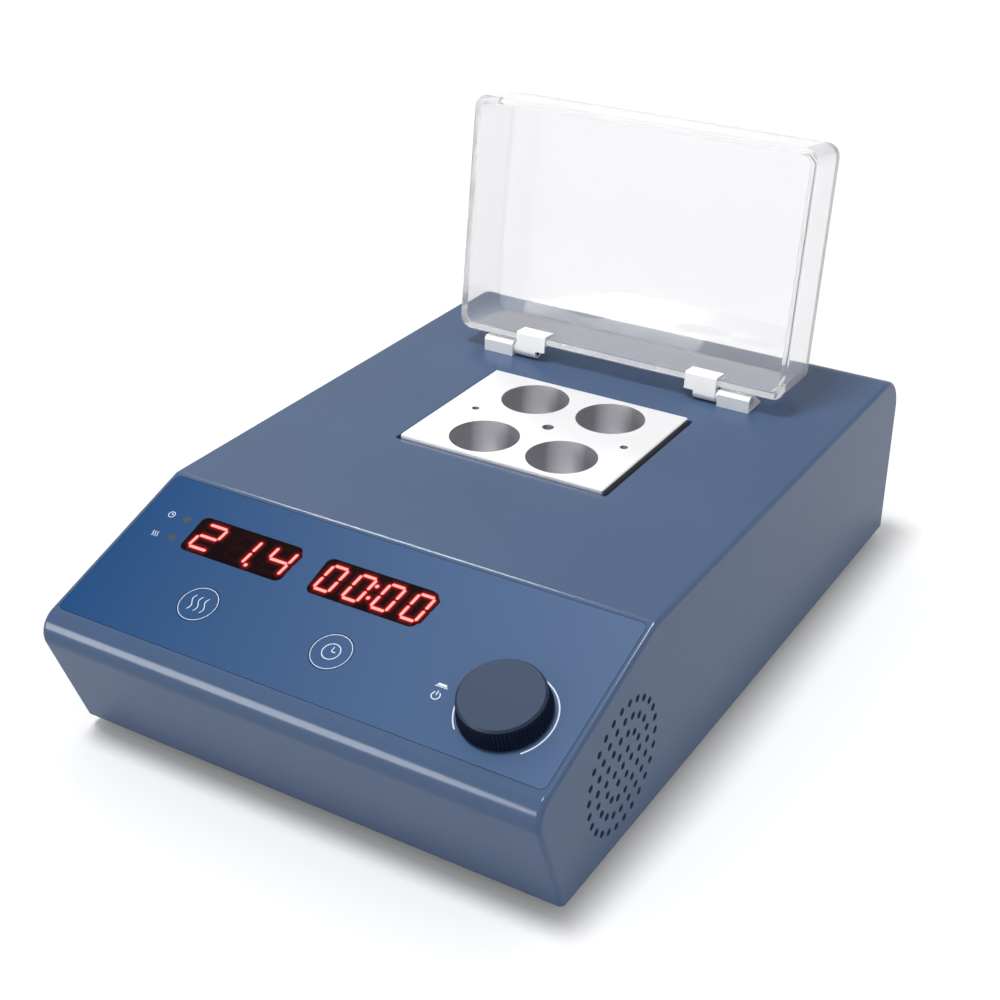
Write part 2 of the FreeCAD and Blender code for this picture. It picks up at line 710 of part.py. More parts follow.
def block_well():
    """Sheet tray round the block with a flange under the cover."""
    height = FLANGE_TOP - TRAY_BOTTOM
    outer_width = WELL_INNER_WIDTH + 2 * WELL_SHEET
    outer_depth = WELL_INNER_DEPTH + 2 * WELL_SHEET
    radius = OPENING_CORNER_RADIUS + WELL_SIDE_GAP
    tray = slab(outer_width, outer_depth, radius + WELL_SHEET, TRAY_BOTTOM, height, 0, BLOCK_Y)
    flange_width = outer_width + 2 * WELL_FLANGE
    flange_depth = outer_depth + 2 * WELL_FLANGE
    flange_low = FLANGE_TOP - WELL_SHEET
    flange = slab(flange_width, flange_depth, radius + WELL_FLANGE, flange_low, WELL_SHEET, 0, BLOCK_Y)
    hollow = slab(WELL_INNER_WIDTH, WELL_INNER_DEPTH, radius, PAD_BOTTOM, height, 0, BLOCK_Y)
    return joined([tray, flange]).cut([hollow, probe_bar(CLOSE_FIT)])


def well_gasket():
    """Soft ring between the well's flange and the underside of the cover."""
    outer_width = WELL_INNER_WIDTH + 2 * WELL_SHEET + 2 * WELL_FLANGE
    outer_depth = WELL_INNER_DEPTH + 2 * WELL_SHEET + 2 * WELL_FLANGE
    radius = OPENING_CORNER_RADIUS + WELL_SIDE_GAP
    ring = slab(outer_width, outer_depth, radius + WELL_FLANGE, FLANGE_TOP, GASKET_THICKNESS, 0, BLOCK_Y)
    hole = slab(WELL_INNER_WIDTH, WELL_INNER_DEPTH, radius, FLANGE_TOP, GASKET_THICKNESS, 0, BLOCK_Y)
    return ring.cut(hole)


def insulation_jacket():
    """Insulation sleeve round the well."""
    inner_width = WELL_INNER_WIDTH + 2 * WELL_SHEET
    inner_depth = WELL_INNER_DEPTH + 2 * WELL_SHEET
    radius = OPENING_CORNER_RADIUS + WELL_SIDE_GAP + WELL_SHEET
    height = FLANGE_TOP - WELL_SHEET - PAD_BOTTOM
    outer_width = inner_width + 2 * JACKET_THICKNESS
    outer_depth = inner_depth + 2 * JACKET_THICKNESS
    sleeve = slab(outer_width, outer_depth, radius + JACKET_THICKNESS, PAD_BOTTOM, height, 0, BLOCK_Y)
    hollow = slab(inner_width, inner_depth, radius, PAD_BOTTOM, height, 0, BLOCK_Y)
    return sleeve.cut([hollow, probe_bar(CLOSE_FIT)])


def under_block(bottom, thickness):
    """Level layer that fills the well under the block."""
    radius = OPENING_CORNER_RADIUS + WELL_SIDE_GAP
    return slab(WELL_INNER_WIDTH, WELL_INNER_DEPTH, radius, bottom, thickness, 0, BLOCK_Y)


def insulation_pad():
    """Insulation board under the heater, with room for the thermal cut-out."""
    pad = under_block(PAD_BOTTOM, PAD_THICKNESS)
    pocket = rod(CUTOUT_RADIUS + SEAT_GAP, V(0, BLOCK_Y, PAD_BOTTOM), V(0, BLOCK_Y, MAT_BOTTOM))
    return pad.cut(pocket)


def heater_mat():
    """Flat heating element pressed under the heater plate."""
    mat = under_block(MAT_BOTTOM, HEATER_MAT_THICKNESS)
    window = rod(CUTOUT_RADIUS + SEAT_GAP, V(0, BLOCK_Y, MAT_BOTTOM), V(0, BLOCK_Y, PLATE_BOTTOM))
    return mat.cut(window)


def heater_plate():
    """Metal plate that spreads the heat under the block."""
    return under_block(PLATE_BOTTOM, HEATER_PLATE_THICKNESS).cut(probe_bar(CLOSE_FIT))


def thermal_cutout():
    """Button thermostat against the underside of the heater plate."""
    top = V(0, BLOCK_Y, PLATE_BOTTOM)
    button = rod(CUTOUT_RADIUS, V(0, BLOCK_Y, PLATE_BOTTOM - CUTOUT_HEIGHT), top)
    tab_low = PAD_BOTTOM + SEAT_GAP
    tab_high = PLATE_BOTTOM - CUTOUT_HEIGHT
    half_thickness = TAB_THICKNESS / 2
    half_width = TAB_WIDTH / 2
    tabs = []
    for side in (-1, 1):
        middle = side * CUTOUT_RADIUS / 2
        low = V(middle - half_thickness, BLOCK_Y - half_width, tab_low)
        tabs.append(box(low, V(middle + half_thickness, BLOCK_Y + half_width, tab_high)))
    return joined([button] + tabs)


def well_pillars():
    """Pillars between the base plate and the well's tray."""
    return group([rod(PILLAR_RADIUS, V(x, y, BASE_TOP), V(x, y, TRAY_BOTTOM)) for x, y in pillar_points()])


def well_points():
    """Plan places of the four tube wells, measured from the lifting hole."""
    reach_x = WELL_PITCH_X / 2
    reach_y = WELL_PITCH_Y / 2
    return [(WELL_SHIFT_X + sx * reach_x, WELLS_Y + sy * reach_y) for sx in (-1, 1) for sy in (-1, 1)]


def heating_block():
    """Machined block with four tube wells, a lifting thread and two probe holes."""
    block = slab(BLOCK_WIDTH, BLOCK_DEPTH, 0, BLOCK_BOTTOM, BLOCK_HEIGHT, 0, BLOCK_Y)
    block = block.makeChamfer(BLOCK_CHAMFER, block.Edges)
    straight_end = BLOCK_TOP - WELL_STRAIGHT
    profile = [
        (0, BLOCK_TOP + CUT_MARGIN),
        (WELL_RADIUS, BLOCK_TOP + CUT_MARGIN),
        (WELL_RADIUS, straight_end),
        (WELL_FLOOR_RADIUS, straight_end - WELL_CONE),
        (0, straight_end - WELL_CONE),
    ]
    cutters = []
    for x, y in well_points():
        well = turned(profile)
        well.translate(V(x, y, 0))
        cutters.append(well)
    top = BLOCK_TOP + CUT_MARGIN
    low = V(WELL_SHIFT_X, WELLS_Y, BLOCK_TOP - LIFT_HOLE_DEPTH)
    cutters.append(rod(LIFT_HOLE_RADIUS, low, V(WELL_SHIFT_X, WELLS_Y, top)))
    for side in (-1, 1):
        x = WELL_SHIFT_X + side * PROBE_HOLE_X
        low = V(x, WELLS_Y, BLOCK_TOP - PROBE_HOLE_DEPTH)
        cutters.append(rod(PROBE_HOLE_RADIUS, low, V(x, WELLS_Y, top)))
    return block.cut(cutters)


def window_pane(x, grow=0.0):
    """Rounded pane of a display window on the panel, drawn flat."""
    width = WINDOW_WIDTH + 2 * grow
    height = WINDOW_HEIGHT + 2 * grow
    return slab(width, height, WINDOW_RADIUS + grow, -OVERLAY_THICKNESS, OVERLAY_THICKNESS, x, -WINDOW_DOWN)


def control_overlay():
    """Printed film of the control panel with openings for displays, lamps, keys and shaft."""
    height = OVERLAY_BOTTOM - OVERLAY_TOP
    middle = -(OVERLAY_TOP + OVERLAY_BOTTOM) / 2
    width = 2 * OVERLAY_HALF_WIDTH
    film = slab(width, height, OVERLAY_RADIUS, -OVERLAY_THICKNESS, OVERLAY_THICKNESS, 0, middle)
    cutters = [window_pane(TEMPERATURE_WINDOW_X), window_pane(TIMER_WINDOW_X)]
    low = -OVERLAY_THICKNESS
    for down in LAMP_DOWNS:
        cutters.append(Part.makeCylinder(LAMP_RADIUS, OVERLAY_THICKNESS, V(LAMP_X, -down, low)))
    for x in (HEAT_KEY_X, TIMER_KEY_X):
        cutters.append(Part.makeCylinder(KEY_RADIUS + KEY_GAP, OVERLAY_THICKNESS, V(x, -KEY_DOWN, low)))
    shaft_hole = BUSHING_RADIUS + CLOSE_FIT
    cutters.append(Part.makeCylinder(shaft_hole, OVERLAY_THICKNESS, V(KNOB_X, -KNOB_DOWN, low)))
    return on_panel(film.cut(cutters))


def display_window(x):
    """Dark pane over a display, flush in the film."""
    return on_panel(window_pane(x))


def display_module(x):
    """Four-digit display body behind its window."""
    return on_panel(slab(DISPLAY_WIDTH, DISPLAY_HEIGHT, 0, BOARD_FACE, DISPLAY_DEPTH, x, -WINDOW_DOWN))


def indicator_lenses():
    """Small round lenses flush in the film."""
    lenses = []
    for down in LAMP_DOWNS:
        lens = Part.makeCylinder(LAMP_RADIUS, OVERLAY_THICKNESS, V(LAMP_X, -down, -OVERLAY_THICKNESS))
        lenses.append(on_panel(lens))
    return group(lenses)


def indicator_lamps():
    """Indicator lamps between the board and their lenses."""
    lamps = []
    for down in LAMP_DOWNS:
        lamp = Part.makeCylinder(LAMP_BODY_RADIUS, DISPLAY_DEPTH, V(LAMP_X, -down, BOARD_FACE))
        lamps.append(on_panel(lamp))
    return group(lamps)


def control_key(x):
    """Round key cap with a retaining flange and a stem, flush with the film."""
    flange_top = -WALL - KEY_GAP
    flange_low = flange_top - KEY_FLANGE_THICKNESS
    switch_floor = BOARD_FACE + SWITCH_FLOOR
    stem_low = switch_floor + KEY_TRAVEL + KEY_STEM_GAP
    profile = [
        (0, stem_low),
        (KEY_STEM_RADIUS, stem_low),
        (KEY_STEM_RADIUS, flange_low),
        (KEY_RADIUS + KEY_FLANGE, flange_low),
        (KEY_RADIUS + KEY_FLANGE, flange_top),
        (KEY_RADIUS, flange_top),
        (KEY_RADIUS, 0),
        (0, 0),
    ]
    shape = turned(profile)
    shape.translate(V(x, -KEY_DOWN, 0))
    return on_panel(shape)


def key_switch(x):
    """Push switch on the board that takes the key's stem."""
    body = slab(SWITCH_SIZE, SWITCH_SIZE, 0, BOARD_FACE, SWITCH_HEIGHT, x, -KEY_DOWN)
    hole_radius = KEY_STEM_RADIUS + KEY_STEM_GAP
    hole = Part.makeCylinder(hole_radius, SWITCH_HEIGHT, V(x, -KEY_DOWN, BOARD_FACE + SWITCH_FLOOR))
    return on_panel(body.cut(hole))


def control_board():
    """Circuit board hung under the panel."""
    width = BOARD_RIGHT - BOARD_LEFT
    height = BOARD_BOTTOM - BOARD_TOP
    across = (BOARD_LEFT + BOARD_RIGHT) / 2
    middle = -(BOARD_TOP + BOARD_BOTTOM) / 2
    return on_panel(slab(width, height, 0, BOARD_BACK, BOARD_THICKNESS, across, middle))


def buzzer():
    """Timer buzzer under the control board, with its sound hole."""
    low = V(BUZZER_X, -KEY_DOWN, BOARD_BACK - BUZZER_HEIGHT)
    can = Part.makeCylinder(BUZZER_RADIUS, BUZZER_HEIGHT, low)
    hole = Part.makeCylinder(BUZZER_HOLE_RADIUS, BUZZER_HOLE_DEPTH, low)
    return on_panel(can.cut(hole))


def knob_axis_shape(shape):
    """Moves a shape drawn round Z, with the panel at height 0, to the knob's axis."""
    placed = shape.copy()
    placed.translate(V(KNOB_X, -KNOB_DOWN, 0))
    return on_panel(placed)


def shaft_bar(extra, low, high):
    """Round shaft with one flat, swollen by extra."""
    bar = Part.makeCylinder(SHAFT_RADIUS + extra, high - low, V(0, 0, low))
    flat_x = SHAFT_RADIUS - SHAFT_FLAT + extra
    return bar.cut(box(V(flat_x, -SHAFT_RADIUS * 2, low), V(SHAFT_RADIUS * 2, SHAFT_RADIUS * 2, high)))


def encoder_body():
    """Rotary encoder housing with its threaded bushing through the panel."""
    height = -BOARD_FACE - WALL
    body = slab(ENCODER_SIZE, ENCODER_SIZE, 0.5, BOARD_FACE, height)
    bushing = Part.makeCylinder(BUSHING_RADIUS, WALL + BUSHING_RISE, V(0, 0, -WALL))
    cavity_low = BOARD_FACE + ENCODER_FLOOR
    cavity_height = -ROTOR_TOP_DEPTH + RUNNING_FIT - cavity_low
    cavity = Part.makeCylinder(ENCODER_CAVITY_RADIUS, cavity_height, V(0, 0, cavity_low))
    bore = Part.makeCylinder(SHAFT_RADIUS + RUNNING_FIT, 2 * height, V(0, 0, cavity_low))
    return knob_axis_shape(joined([body, bushing]).cut([cavity, bore]))


def encoder_rotor():
    """Disc inside the encoder that turns with the shaft."""
    low = -ROTOR_TOP_DEPTH - ROTOR_THICKNESS
    disc = Part.makeCylinder(ROTOR_RADIUS, ROTOR_THICKNESS, V(0, 0, low))
    return knob_axis_shape(disc.cut(shaft_bar(RUNNING_FIT, low, low + ROTOR_THICKNESS)))


def encoder_shaft():
    """Flatted shaft that carries the knob and slides in the rotor."""
    low = BOARD_FACE + ENCODER_FLOOR + KNOB_TRAVEL + KEY_STEM_GAP
    high = KNOB_LIFT + SHAFT_BITE
    return knob_axis_shape(shaft_bar(0, low, high))


def encoder_nut():
    """Hexagon nut that clamps the bushing to the panel."""
    points = []
    for index in range(7):
        turn = math.pi * index / 3
        points.append(V(NUT_RADIUS * math.cos(turn), NUT_RADIUS * math.sin(turn), 0))
    nut = Part.Face(Part.makePolygon(points)).extrude(V(0, 0, NUT_HEIGHT))
    bore = Part.makeCylinder(BUSHING_RADIUS + CLOSE_FIT, NUT_HEIGHT)
    return knob_axis_shape(nut.cut(bore))


def ribbed_wire(radius, z):
    """Toothed outline of the knob's grip at one height."""
    points = []
    steps = 2 * KNOB_RIBS
    for index in range(steps):
        turn = 2 * math.pi * index / steps
        reach = radius if index % 2 == 0 else radius - KNOB_RIB_DEPTH
        points.append(V(reach * math.cos(turn), reach * math.sin(turn), z))
    points.append(points[0])
    return Part.makePolygon(points)


def knob():
    """Tapered knob with a ribbed grip, a chamfered cap and a hub on the shaft."""
    top = KNOB_LIFT + KNOB_HEIGHT
    grip_low = KNOB_LIFT + KNOB_COLLAR / 2
    grip_high = top - KNOB_COLLAR
    outlines = [ribbed_wire(KNOB_BASE_RADIUS, grip_low), ribbed_wire(KNOB_TOP_RADIUS, grip_high)]
    grip = Part.makeLoft(outlines, True, True)
    core_low = KNOB_BASE_RADIUS - KNOB_RIB_DEPTH
    cap_radius = KNOB_TOP_RADIUS - KNOB_RIB_DEPTH / 2
    collar = Part.makeCylinder(core_low, KNOB_COLLAR / 2, V(0, 0, KNOB_LIFT))
    cap = turned([
        (0, grip_high),
        (cap_radius, grip_high),
        (cap_radius, top - KNOB_CHAMFER),
        (cap_radius - KNOB_CHAMFER, top),
        (0, top),
    ])
    body = joined([grip, collar, cap])
    hollow_radius = KNOB_BASE_RADIUS - KNOB_SHELL
    hollow_height = KNOB_HEIGHT - KNOB_SHELL
    hollow = Part.makeCylinder(hollow_radius, hollow_height, V(0, 0, KNOB_LIFT))
    clear = NUT_HEIGHT + SEAT_GAP + KNOB_TRAVEL
    hub = Part.makeCylinder(KNOB_HUB_RADIUS, top - KNOB_SHELL - clear, V(0, 0, clear))
    hollow = hollow.cut(hub)
    bore = shaft_bar(0, KNOB_LIFT, KNOB_LIFT + SHAFT_BITE)
    return knob_axis_shape(body.cut([hollow, bore]))


def fan_frame():
    """Square fan frame with its duct, struts and bearing tube."""
    half = FAN_SIZE / 2
    corners = rectangle(FAN_SIZE, FAN_SIZE, FAN_CORNER_RADIUS, VENT_Y, VENT_Z)
    frame = side_prism(corners, FAN_INNER_X, FAN_OUTER_X)
    duct = rod(FAN_DUCT_RADIUS, V(FAN_INNER_X, VENT_Y, VENT_Z), V(FAN_OUTER_X, VENT_Y, VENT_Z))
    frame = frame.cut(duct)
    base_end = FAN_INNER_X + FAN_BASE_DEPTH
    pieces = [frame, rod(FAN_HUB_RADIUS, V(FAN_INNER_X, VENT_Y, VENT_Z), V(base_end, VENT_Y, VENT_Z))]
    for index in range(4):
        low = V(FAN_INNER_X, VENT_Y - FAN_STRUT_WIDTH / 2, VENT_Z + FAN_HUB_RADIUS - 1)
        high = V(base_end, VENT_Y + FAN_STRUT_WIDTH / 2, VENT_Z + half - 1)
        strut = box(low, high)
        strut.rotate(V(0, VENT_Y, VENT_Z), X_AXIS, 90 * index)
        pieces.append(strut)
    bearing_start = V(FAN_INNER_X + FAN_BEARING_FLOOR, VENT_Y, VENT_Z)
    bearing = rod(FAN_SPINDLE_RADIUS + RUNNING_FIT, bearing_start, V(base_end, VENT_Y, VENT_Z))
    return joined(pieces).cut(bearing)


def fan_rotor():
    """Fan hub with pitched blades on a spindle."""
    hub_start = FAN_INNER_X + FAN_BASE_DEPTH + SEAT_GAP
    hub_end = hub_start + FAN_HUB_DEPTH
    middle = (hub_start + hub_end) / 2
    reach = FAN_DUCT_RADIUS - FAN_TIP_GAP
    hub = rod(FAN_HUB_RADIUS, V(hub_start, VENT_Y, VENT_Z), V(hub_end, VENT_Y, VENT_Z))
    swept = rod(reach, V(hub_start, VENT_Y, VENT_Z), V(hub_end, VENT_Y, VENT_Z))
    spindle_start = V(FAN_INNER_X + 2 * FAN_BEARING_FLOOR, VENT_Y, VENT_Z)
    pieces = [hub, rod(FAN_SPINDLE_RADIUS, spindle_start, V(hub_end, VENT_Y, VENT_Z))]
    for index in range(FAN_BLADES):
        low = V(middle - FAN_BLADE_CHORD / 2, VENT_Y - FAN_BLADE_THICKNESS / 2, VENT_Z + FAN_HUB_RADIUS - 1)
        high = V(middle + FAN_BLADE_CHORD / 2, VENT_Y + FAN_BLADE_THICKNESS / 2, VENT_Z + reach + 1)
        blade = box(low, high)
        blade.rotate(V(middle, VENT_Y, VENT_Z), Z_AXIS, FAN_BLADE_PITCH)
        blade = blade.common(swept)
        blade.rotate(V(0, VENT_Y, VENT_Z), X_AXIS, 360 * index / FAN_BLADES)
        pieces.append(blade)
    return joined(pieces)


def hinge_base(side):
    """Hinge block: upright front, flat top and a back slope with two screw seats."""
    front = PIN_Y - HINGE_FRONT
    top = TOP_Z + HINGE_TOP
    corners = [
        (front, TOP_Z, 0),
        (PIN_Y + HINGE_BACK, TOP_Z, 0),
        (PIN_Y + HINGE_BACK, TOP_Z + HINGE_BACK_RISE, 0),
        (PIN_Y + HINGE_RIDGE_BACK, top, 0.6),
        (front + HINGE_CHAMFER, top, 0.4),
        (front, top - HINGE_CHAMFER, 0.4),
    ]
    block = side_prism(corners, side * HINGE_INNER_X, side * HINGE_OUTER_X)
    inner = V(side * (HINGE_INNER_X - CUT_MARGIN), PIN_Y, PIN_Z)
    outer = V(side * (HINGE_OUTER_X + CUT_MARGIN), PIN_Y, PIN_Z)
    cutters = [rod(PIN_RADIUS + CLOSE_FIT, inner, outer)]
    recess = V(side * (HINGE_OUTER_X - HINGE_END_BORE_DEPTH), PIN_Y, PIN_Z)
    cutters.append(rod(HINGE_END_BORE_RADIUS, recess, outer))
    for x, y in hinge_seat_points():
        if x * side > 0:
            seat = V(x, y, TOP_Z + HINGE_SEAT_RISE)
            cutters.append(rod(HINGE_SEAT_RADIUS, seat, V(x, y, top + CUT_MARGIN)))
    return block.cut(cutters)


def hinge_pins():
    """Pins fixed in the hinge blocks, on which the clips turn."""
    pins = []
    for side in (-1, 1):
        inner = V(side * CLIP_NOTCH_X, PIN_Y, PIN_Z)
        outer = V(side * (HINGE_OUTER_X - HINGE_END_BORE_DEPTH / 2), PIN_Y, PIN_Z)
        pins.append(rod(PIN_RADIUS, inner, outer))
    return group(pins)


def hinge_washers():
    """Spacers on the pins between clip and hinge block."""
    washers = []
    for side in (-1, 1):
        inner = V(side * (CLIP_OUTER_X + WASHER_GAP), PIN_Y, PIN_Z)
        outer = V(side * HINGE_INNER_X, PIN_Y, PIN_Z)
        washers.append(rod(WASHER_RADIUS, inner, outer).cut(rod(PIN_RADIUS + CLOSE_FIT, inner, outer)))
    return group(washers)


def on_lid(shape):
    """Leans a shape drawn with the lid upright, the pin's axis at the origin, back to rest."""
    placed = shape.copy()
    placed.rotate(V(), X_AXIS, -LID_LEAN)
    placed.translate(PIN_POINT)
    return placed


def hinge_clip(side):
    """Bent clip: grips the lid's wall above and rolls round the pin below."""
    draft = LID_DRAFT / LID_DEPTH
    rim = -LID_RIM_OFFSET
    front = rim - CLIP_SHEET
    wall_low = LID_WALL_OFFSET
    wall_high = LID_WALL_OFFSET + LID_WALL
    lip_end = rim + CLIP_TOP_LIP
    foot_end = rim + CLIP_LOWER_LIP
    lip_rise = draft * CLIP_TOP_LIP
    foot_rise = draft * CLIP_LOWER_LIP
    corners = [
        (front, CLIP_NOTCH_RISE, 0),
        (rim, CLIP_NOTCH_RISE, 0),
        (rim, wall_low - CLIP_SHEET, 0),
        (foot_end, wall_low - CLIP_SHEET + foot_rise, 0),
        (foot_end, wall_low + foot_rise, 0),
        (rim, wall_low, 0),
        (rim, wall_high, 0),
        (lip_end, wall_high + lip_rise, 0),
        (lip_end, wall_high + lip_rise + CLIP_SHEET, 0),
        (front, wall_high + CLIP_SHEET, CLIP_SHEET * 0.8),
    ]
    upper = side_prism(corners, side * CLIP_INNER_X, side * CLIP_OUTER_X)
    strip_corners = [
        (front, 0, 0),
        (rim, 0, 0),
        (rim, CLIP_NOTCH_RISE + BOSS_BITE, 0),
        (front, CLIP_NOTCH_RISE + BOSS_BITE, 0),
    ]
    strip = side_prism(strip_corners, side * CLIP_NOTCH_X, side * CLIP_OUTER_X)
    start = V(side * CLIP_NOTCH_X, 0, 0)
    end = V(side * CLIP_OUTER_X, 0, 0)
    barrel = rod(BARREL_RADIUS, start, end)
    bore = rod(PIN_RADIUS + RUNNING_FIT, start, end)
    return on_lid(joined([upper, strip, barrel]).cut(bore))


def lid_loft(inset, wall, start, end):
    """Drafted block of the lid between two depths, inset by a wall thickness."""
    wires = []
    for depth in (start, end):
        shrink = inset + LID_DRAFT * (depth + LID_RIM_OFFSET) / LID_DEPTH
        width = LID_WIDTH - 2 * shrink
        height = LID_LENGTH - 2 * shrink
        radius = LID_CORNER_RADIUS - wall / 2
        middle = LID_WALL_OFFSET + LID_LENGTH / 2
        wires.append(rounded_wire(rectangle(width, height, radius, 0, middle), in_back(depth)))
    return Part.makeLoft(wires, True, True)


def lid():
    """Clear moulded lid: an open box with thin drafted walls."""
    rim = -LID_RIM_OFFSET
    end = rim + LID_DEPTH
    outer = lid_loft(0, 0, rim, end)
    soft = [edge for edge in outer.Edges if edge.BoundBox.YMin > end - 1e-6]
    outer = outer.makeFillet(LID_EDGE_RADIUS, soft)
    hollow = lid_loft(LID_WALL, LID_WALL, rim - CUT_MARGIN, end - LID_WALL)
    return on_lid(outer.cut(hollow))


def inlet_body():
    """Appliance inlet: flange, socket cavity and fuse bay."""
    flange = upright_slab(
        INLET_FLANGE_WIDTH, INLET_FLANGE_HEIGHT, 2.0, RECESS_FLOOR_Y,
        INLET_FLANGE_THICKNESS, INLET_X, RECESS_Z)
    body_start = RECESS_FLOOR_Y - INLET_BODY_DEPTH
    body = upright_slab(
        INLET_BODY_WIDTH, INLET_BODY_HEIGHT, 0, body_start, INLET_BODY_DEPTH, INLET_X, RECESS_Z)
    socket_z = RECESS_Z + INLET_SOCKET_RISE
    half_width = INLET_SOCKET_WIDTH / 2
    half_height = INLET_SOCKET_HEIGHT / 2
    corners = [
        (INLET_X - half_width, socket_z - half_height, 1.0),
        (INLET_X + half_width, socket_z - half_height, 1.0),
        (INLET_X + half_width, socket_z + half_height - INLET_CORNER, 1.0),
        (INLET_X + half_width - INLET_CORNER, socket_z + half_height, 1.0),
        (INLET_X - half_width + INLET_CORNER, socket_z + half_height, 1.0),
        (INLET_X - half_width, socket_z + half_height - INLET_CORNER, 1.0),
    ]
    socket_start = INLET_FACE_Y - INLET_SOCKET_DEPTH
    socket = Part.Face(rounded_wire(corners, in_back(socket_start))).extrude(V(0, INLET_SOCKET_DEPTH, 0))
    bay_width = DRAWER_WIDTH + 2 * DRAWER_GAP
    bay_height = DRAWER_HEIGHT + 2 * DRAWER_GAP
    bay_depth = DRAWER_DEPTH + DRAWER_GAP
    bay_start = INLET_FACE_Y - bay_depth
    bay = upright_slab(bay_width, bay_height, 0, bay_start, bay_depth, INLET_X, RECESS_Z - DRAWER_DROP)
    cutters = [socket, bay] + inlet_blades()
    return joined([flange, body]).cut(cutters)


def inlet_blades():
    """Three contact blades of the inlet."""
    socket_z = RECESS_Z + INLET_SOCKET_RISE
    start = RECESS_FLOOR_Y - INLET_BODY_DEPTH - PIN_TAIL
    end = INLET_FACE_Y - PIN_SHORT
    blades = []
    for side, rise in ((-1, -1), (0, 1), (1, -1)):
        x = INLET_X + side * PIN_SPREAD / 2
        z = socket_z + rise * PIN_EARTH_RISE / 2
        blades.append(upright_slab(PIN_BLADE_WIDTH, PIN_BLADE_HEIGHT, 0, start, end - start, x, z))
    return blades


def fuse_drawer():
    """Drawer under the socket with a cradle for the fuse and a grip edge."""
    z = RECESS_Z - DRAWER_DROP
    front = INLET_FACE_Y - DRAWER_DEPTH
    tray = upright_slab(DRAWER_WIDTH, DRAWER_HEIGHT, 0, front, DRAWER_DEPTH, INLET_X, z)
    grip_z = z + DRAWER_HEIGHT / 2 - DRAWER_GRIP_DEPTH
    grip = upright_slab(
        DRAWER_WIDTH / 2, DRAWER_GRIP_HEIGHT, 0, INLET_FACE_Y, DRAWER_GRIP_DEPTH, INLET_X, grip_z)
    half_length = FUSE_LENGTH / 2 + DRAWER_GAP
    half_width = FUSE_RADIUS + DRAWER_GAP
    middle = front + DRAWER_DEPTH / 2
    low = V(INLET_X - half_length, middle - half_width, z - DRAWER_HEIGHT / 2 + DRAWER_FLOOR)
    high = V(INLET_X + half_length, middle + half_width, z + DRAWER_HEIGHT / 2)
    return joined([tray, grip]).cut(box(low, high))


def fuse():
    """Cartridge fuse lying across the drawer."""
    y = INLET_FACE_Y - DRAWER_DEPTH / 2
    z = RECESS_Z - DRAWER_DROP - DRAWER_HEIGHT / 2 + DRAWER_FLOOR + FUSE_RADIUS
    return rod(FUSE_RADIUS, V(INLET_X - FUSE_LENGTH / 2, y, z), V(INLET_X + FUSE_LENGTH / 2, y, z))


def rocker_frame():
    """Bezel and body of the power switch."""
    flange = upright_slab(
        ROCKER_FLANGE_WIDTH, ROCKER_FLANGE_HEIGHT, 1.0, RECESS_FLOOR_Y,
        ROCKER_FLANGE_THICKNESS, ROCKER_X, RECESS_Z)
    start = RECESS_FLOOR_Y - ROCKER_BODY_DEPTH
    body = upright_slab(
        ROCKER_BODY_WIDTH, ROCKER_BODY_HEIGHT, 0, start, ROCKER_BODY_DEPTH, ROCKER_X, RECESS_Z)
    half = ROCKER_WIDTH / 2 + ROCKER_GAP
    radius = ROCKER_RADIUS + ROCKER_GAP
    left = V(ROCKER_X - half, ROCKER_PIVOT_Y, RECESS_Z)
    right = V(ROCKER_X + half, ROCKER_PIVOT_Y, RECESS_Z)
    hollow = rod(radius, left, right)
    mouth_low = V(ROCKER_X - half, ROCKER_PIVOT_Y, RECESS_Z - radius)
    mouth = box(mouth_low, V(ROCKER_X + half, BACK_Y, RECESS_Z + radius))
    reach = half + ROCKER_TRUNNION_LENGTH - ROCKER_GAP + RUNNING_FIT
    trunnion = rod(
        ROCKER_TRUNNION_RADIUS + RUNNING_FIT, V(ROCKER_X - reach, ROCKER_PIVOT_Y, RECESS_Z),
        V(ROCKER_X + reach, ROCKER_PIVOT_Y, RECESS_Z))
    return joined([flange, body]).cut([hollow, mouth, trunnion])


def rocker():
    """Rocker cap with a shallow valley, tipped to one side about its trunnions."""
    half = ROCKER_WIDTH / 2
    rise = ROCKER_VALLEY + ROCKER_RADIUS * math.tan(math.radians(ROCKER_TILT))
    floor = -ROCKER_RADIUS / 2
    outline = [
        (floor, -ROCKER_RADIUS, 0),
        (rise, -ROCKER_RADIUS, 0),
        (ROCKER_VALLEY, 0, 0),
        (rise, ROCKER_RADIUS, 0),
        (floor, ROCKER_RADIUS, 0),
    ]
    wedge = side_prism(outline, -half, half)
    cap = wedge.common(rod(ROCKER_RADIUS, V(-half, 0, 0), V(half, 0, 0)))
    reach = half + ROCKER_TRUNNION_LENGTH
    shape = joined([cap, rod(ROCKER_TRUNNION_RADIUS, V(-reach, 0, 0), V(reach, 0, 0))])
    shape.rotate(V(), X_AXIS, -ROCKER_TILT)
    shape.translate(V(ROCKER_X, ROCKER_PIVOT_Y, RECESS_Z))
    return shape


def power_board():
    """Power circuit board on its pillars."""
    middle_x = POWER_LEFT + POWER_WIDTH / 2
    middle_y = POWER_FRONT_Y + POWER_DEPTH / 2
    return slab(POWER_WIDTH, POWER_DEPTH, 0, POWER_BOTTOM, BOARD_THICKNESS, middle_x, middle_y)


def power_board_pillars():
    """Pillars under the power board."""
    points = power_pillar_points()
    return group([rod(POWER_PILLAR_RADIUS, V(x, y, BASE_TOP), V(x, y, POWER_BOTTOM)) for x, y in points])


def on_power_board(place):
    """Plan place on the power board from fractions of its width and depth."""
    return POWER_LEFT + POWER_WIDTH * place[0], POWER_FRONT_Y + POWER_DEPTH * place[1]


